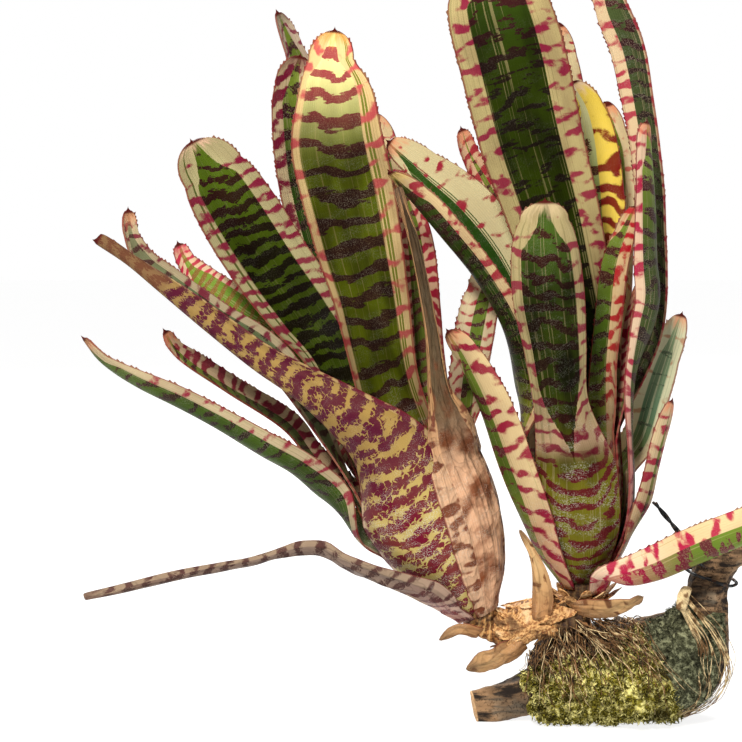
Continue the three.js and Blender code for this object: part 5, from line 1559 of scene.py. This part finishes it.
# %% [markdown]
# The bright moss hangs over the log's front in yellow-green curls, mixed with dead brown ones. The grey
# moss on the elbow is shorter and denser, like felt.

# %% The two mosses
SHOOT_CLEARANCE = 0.2  # mm between the lowest shoots and the shelf
BARE_BELOW = -0.12  # swell under which no shoot grows


def moss_finish(name, dark, middle, light, size):
    paint, tufts, fine, wide = grained(name, (2.0, size), (3.0, size * 6), (2.0, size * 0.3))
    body = paint.colour(dark, middle, fine.rise(0.36, 0.58))
    body = paint.colour(body, light, tufts.rise(0.45, 0.62))
    body = paint.colour(body, dark, wide.rise(0.5, 0.66) * 0.7)
    return paint.close(body, 0.85 + fine * 0.1, fine, 0.0006, Specular_IOR_Level=0.2)


def moss(name, node, slot, paint, shapes, seed, count, along, around, depth, tilt):
    """A cushion over a stretch of the wood, and shoots on it that lean by tilt."""
    draws = seeded(seed)
    pad = cushion(along, around, lambda s, t: 1.0 + depth * swell(s, t, seed))
    spots = []
    for n in range(count):
        s = 0.02 + 0.96 * next(draws)
        t = 0.02 + 0.96 * next(draws)
        rise = swell(s, t, seed)
        if rise < BARE_BELOW:
            continue
        point, normal = wood_point(mix(*along, s), mix(*around, t), max(0.0, 0.7 + depth * rise))
        away = Vector((next(draws) - 0.5, next(draws) - 0.5, next(draws) - 0.7)) * tilt
        turn = next(draws) * 2 * math.pi
        scale = 0.6 + 0.7 * next(draws)
        spots.append((point, (normal + away).normalized(), turn, scale, int(next(draws) * len(shapes))))
    whole = set_down(gather([pad]), shapes, spots)
    for vertex in whole.verts:
        vertex.co.z = max(vertex.co.z, SHOOT_CLEARANCE)
    add_piece(name, whole, paint, slot, node)


moss("moss_bright_curls", "moss_bright", "moss_green",
     moss_finish("moss_yellow_green", tone(50, 38, 10), tone(150, 140, 44), tone(246, 236, 150), 300.0),
     [shoot_mesh(4.2, 0.62, 2.3), shoot_mesh(5.2, 0.5, 3.2), shoot_mesh(3.6, 0.72, 1.3)],
     seed=61, count=3300, along=(1.45, 4.95), around=(14, 158), depth=5.6, tilt=1.4)
moss("moss_grey_felt", "moss_grey", "moss_grey",
     moss_finish("moss_grey_green", tone(34, 34, 22), tone(90, 92, 66), tone(150, 152, 118), 420.0),
     [shoot_mesh(1.9, 0.3, 1.0, 3), shoot_mesh(2.4, 0.26, 2.0, 3)],
     seed=67, count=3600, along=(4.75, 7.25), around=(8, 140), depth=4.0, tilt=0.9)

# %% [markdown]
# Roots start at the crown and fan out over the moss, wiry and straw-coloured or brown. They are bars like
# the wood, each along its own wandering line close over the surface.

# %% Roots over the wood
MAT_DEPTHS = [(1.8, 5), (2.2, 10.2), (2.7, 7), (3.2, 3.4), (3.7, 4.5), (4.2, 5.5), (4.7, 3)]
FAN_ROOTS = 170
STRAND_STEPS = 5
STRAND_CLEARANCE = 0.3
WANDER_SEED = 7


def root_strand(points, thickness, seed, sides=4, wander=0.6):
    """A wiry root along the points, thinner to its end, that stays above the floor."""
    count = (len(points) - 1) * STRAND_STEPS + 1
    line = [smooth(points, n / STRAND_STEPS) for n in range(count)]
    for i, point in enumerate(line):
        point += noise.noise_vector(point * 0.14 + Vector((seed * 3.7, 0, 0))) * wander * min(1.0, i / 4)
        point.z = max(point.z, thickness + STRAND_CLEARANCE)
    return grow_bar(line, lambda i, angle: thickness * (1 - 0.55 * i / (count - 1)), sides)


noise.seed_set(WANDER_SEED)  # without it noise_vector differs from run to run
draws = seeded(73)
brown_parts = []
straw_parts = []
for n in range(FAN_ROOTS):
    place = mix(1.85, 4.9, next(draws))
    sway = (next(draws) - 0.5) * 1.3
    first = mix(-40, 20, next(draws))
    reach = min(first + mix(30, 105, next(draws)), 140)
    lift = mix(3.0, 8.5, next(draws))
    depth = table_value(MAT_DEPTHS, place)
    spots = [(place, first, 0.5 * depth + 1), (place + sway * 0.2, first + 16, 0.7 * depth + 1.5),
             (place + sway * 0.5, mix(first, reach, 0.6), lift), (place + sway, reach, lift)]
    parts = straw_parts if next(draws) < 0.35 else brown_parts
    line = [wood_point(held_in(at, 1.5, 5.4), degrees, height)[0] for at, degrees, height in spots]
    parts.append(root_strand(line, mix(0.16, 0.42, next(draws)), n))
print(len(brown_parts), "brown roots and", len(straw_parts), "pale ones lie over the wood")

# %% [markdown]
# Under the crown the roots hang as a thick skirt. Each starts on the underside of the rhizome, swings
# forward and comes down on the moss at its own place, so the skirt opens like a fan. A low mat fills in
# behind, painted dark for the roots and as painted shade.

# %% The skirt of roots and the mat
SKIRT_ROOTS = 118
MAT_ALONG = (1.75, 4.5)
MAT_AROUND = (-54, 34)
MAT_SEED = 71


def mat_rise(s, t):
    return 1.6 + table_value(MAT_DEPTHS, mix(*MAT_ALONG, s)) * swell(s, t, MAT_SEED, 7.0) * 0.9


def roots_finish(name, dark, light):
    paint, patches, fine = grained(name, (2.0, 240.0), (3.0, 1400.0))
    body = paint.colour(dark, light, patches.rise(0.4, 0.58))
    body = paint.colour(body, dark, fine.rise(0.52, 0.7) * 0.5)
    return paint.close(body, 0.7 + fine * 0.15, fine, 0.0004, Specular_IOR_Level=0.3)


for n in range(SKIRT_ROOTS):
    share = next(draws)
    start = seen(mix(-27, 3, share), mix(54, 47, next(draws)), mix(-9, 1, next(draws)))
    place = mix(1.9, 4.6, held_in(share + (next(draws) - 0.5) * 0.55, 0, 1))
    degrees = mix(24, 88, next(draws) ** 1.5)
    lift = mix(5, 9, next(draws))
    landing = wood_point(place, degrees, lift)[0]
    end = wood_point(place + (next(draws) - 0.5) * 0.4, degrees + mix(6, 34, next(draws)), lift - 1)[0]
    sag = Vector((mix(-4, 4, next(draws)), mix(-1, -7, next(draws)), mix(-1, 3, next(draws))))
    belly = start.lerp(landing, 0.5) + sag
    strand = root_strand([start, belly, landing, end], mix(0.18, 0.5, next(draws) ** 2), n + 400)
    parts = straw_parts if next(draws) < 0.38 else brown_parts
    parts.append(strand)
# The mat's dark tones stand for roots and for painted shade in behind the skirt.
mat_and_shade_paint = roots_finish("root_mat_and_painted_shade", tone(26, 18, 12), tone(84, 62, 42))
straw_paint = roots_finish("root_straw_fibre", tone(120, 88, 54), tone(222, 198, 150))
brown_paint = roots_finish("root_brown_fibre", tone(50, 34, 22), tone(140, 102, 64))
add_piece("roots_mat_and_shade", gather([cushion(MAT_ALONG, MAT_AROUND, mat_rise, 50, 30)]), mat_and_shade_paint, "root_straw",
          "roots")
add_piece("roots_fan_brown", gather(brown_parts), brown_paint, "root_straw", "roots")
add_piece("roots_fan_straw", gather(straw_parts), straw_paint, "root_straw", "roots")

# %% [markdown]
# A second bunch hugs the elbow: separate pale wires that part from one clump behind the drooping leaf,
# run down the bark side by side and close up again under the bend.

# %% The roots on the elbow
ELBOW_ROOTS = 30
elbow_parts = [knobbly_bar([
    (42, 66, -11, 2.4), (40, 62, -16, 2.8), (39, 57, -21, 2.2),
], 6, sides=14, roughness=0.4, seed=79)]
for n in range(ELBOW_ROOTS):
    share = next(draws)
    start = seen(mix(42, 38, share), mix(65, 58, share), mix(-12, -20, share))
    stray = (next(draws) - 0.5) * 0.5
    spots = [(mix(6.75, 6.2, share), mix(122, 78, share), mix(3, 8, next(draws))),
             (mix(6.2, 5.8, share) + stray * 0.5, mix(152, 96, share), mix(2, 6, next(draws))),
             (mix(5.6, 5.3, share) + stray, mix(164, 118, share), mix(1.5, 5, next(draws))),
             (mix(5.1, 4.7, share) + stray, mix(158, 138, share), 2)]
    line = [start] + [wood_point(*spot)[0] for spot in spots]
    elbow_parts.append(root_strand(line, mix(0.16, 0.4, next(draws) ** 2), n + 200, wander=0.9))
add_piece("roots_elbow_strands", gather(elbow_parts), straw_paint, "root_straw", "roots_elbow")

# %% [markdown]
# A dark iron wire is looped nearly one and a half times round the arm, and its two ends are twisted
# together into a tail that rises behind the leaves.

# %% The tie wire
WIRE_RADIUS = 0.75
LOOP_STEPS = 72
LOOP_TURNS = 1.45
TAIL_STEPS = 60
TAIL_TURN = 15.2  # radians that the strands turn through
TAIL_HALF = 0.7  # mm from a strand to the tail's middle line
TAIL_END = seen(26, 108, 12)


def tail_strand(start, phase):
    """One of the two wires that wind round the tail's middle line."""
    strand = []
    for n in range(TAIL_STEPS + 1):
        turn = n / TAIL_STEPS * TAIL_TURN + phase
        out = Vector((math.cos(turn), math.sin(turn), 0))
        strand.append(start.lerp(TAIL_END, n / TAIL_STEPS) + out * TAIL_HALF)
    return strand


def wire_finish():
    paint, rust = grained("wire_dark_iron", (3.0, 500.0))
    body = paint.colour(tone(44, 46, 48), tone(88, 66, 52), rust.rise(0.52, 0.68))
    return paint.close(body, 0.38 + rust * 0.3, rust, 0.0001, Metallic=0.8)


turns = [n / LOOP_STEPS * LOOP_TURNS for n in range(LOOP_STEPS + 1)]
loop = [wood_point(8.15 + 0.28 * turn, 250 + 360 * turn, 2.5)[0] for turn in turns]
lines = [loop, tail_strand(loop[0], 0), tail_strand(loop[0], math.pi)]
wire = gather([grow_bar(line, lambda i, angle: WIRE_RADIUS, 10) for line in lines])
add_piece("tie_wire_twist", wire, wire_finish(), "wire_dark", "tie_wire")

# %% [markdown]
# The scene is a plain pale floor in soft light. The main lamp is small and stands high in front, a little
# to the left, so it draws clear shadows under the leaves. A wide weak one at the right fills them. A
# third one behind lights the edges.

# %% Floor and lamps
FLOOR_HALF = 4.0
FLOOR_HEIGHT = -0.0003
LAMP_AIM = Vector((-0.1, 0.0, 0.18))


def floor_finish():
    paint, shade = grained("floor_pale", (2.0, 3.0))
    grey = paint.colour(tone(128, 128, 128), tone(134, 134, 134), shade)
    return paint.close(grey, 0.9 + shade * 0.05, shade, 0.0001, Emission_Color=(1, 1, 1, 1),
                       Emission_Strength=0.84)


def lamp(name, place, size, watts, colour):
    light = bpy.data.lights.new(name, "AREA")
    light.size = size
    light.energy = watts
    light.color = colour
    made = add_object(name, light)
    made.location = place
    made.rotation_euler = (LAMP_AIM - Vector(place)).to_track_quat("-Z", "Y").to_euler()


bm = bmesh.new()
bmesh.ops.create_grid(bm, x_segments=8, y_segments=8, size=FLOOR_HALF)
bmesh.ops.translate(bm, verts=bm.verts[:], vec=(0, 0, FLOOR_HEIGHT))
floor_mesh = mesh_of("floor", bm)
floor_mesh.materials.append(floor_finish())
floor = add_object("floor", floor_mesh)
lamp("key", (-0.45, -1.05, 1.05), size=0.25, watts=24, colour=(1.0, 0.96, 0.9))
lamp("fill", (0.95, -0.75, 0.45), size=0.9, watts=2, colour=(0.94, 0.97, 1.0))
lamp("back", (-0.35, 0.95, 0.95), size=0.7, watts=22, colour=(1.0, 0.98, 0.94))
print("the floor and three lamps are set")

# %% [markdown]
# The world is white behind the plant and dimmer in front, so that it doesn't wash out the shadows. A Map
# Range node turns the way a ray goes into the world's strength.

# %% The world
WORLD_FADE = {"From Min": 0.2, "From Max": 0.8, "To Min": 0.28, "To Max": 1.0}
world = bpy.data.worlds.new("studio")
bpy.context.scene.world = world
world.use_nodes = True
nodes = world.node_tree.nodes
links = world.node_tree.links
sight = nodes.new("ShaderNodeTexCoord")
parts = nodes.new("ShaderNodeSeparateXYZ")
level = nodes.new("ShaderNodeMapRange")
for key, value in WORLD_FADE.items():
    level.inputs[key].default_value = value
links.new(sight.outputs["Generated"], parts.inputs["Vector"])
links.new(parts.outputs["Y"], level.inputs["Value"])
links.new(level.outputs["Result"], nodes["Background"].inputs["Strength"])
nodes["Background"].inputs["Color"].default_value = (1, 1, 1, 1)
bpy.context.scene.view_settings.view_transform = "Standard"
print("the world's strength goes from", WORLD_FADE["To Min"], "to", WORLD_FADE["To Max"])

# %% [markdown]
# The camera stands where the measuring eye stood, so the render can be laid over the photograph. The
# picture is square, and the frame is as wide as the photograph's at the plant's distance.

# %% Camera
FRAME_WIDTH = 356.2  # mm seen across at the plant
SENSOR = 36
camera_data = bpy.data.cameras.new("camera")
camera_data.sensor_width = SENSOR
camera_data.lens = SENSOR * EYE_DISTANCE / FRAME_WIDTH
camera_data.clip_start = 0.05
camera = add_object("camera", camera_data)
camera.location = placed(EYE)
camera.rotation_euler = SIGHT_FORWARD.to_track_quat("-Z", "Y").to_euler()
bpy.context.scene.camera = camera
print("lens", round(camera_data.lens, 1), "mm;", triangle_total, "triangles in all")
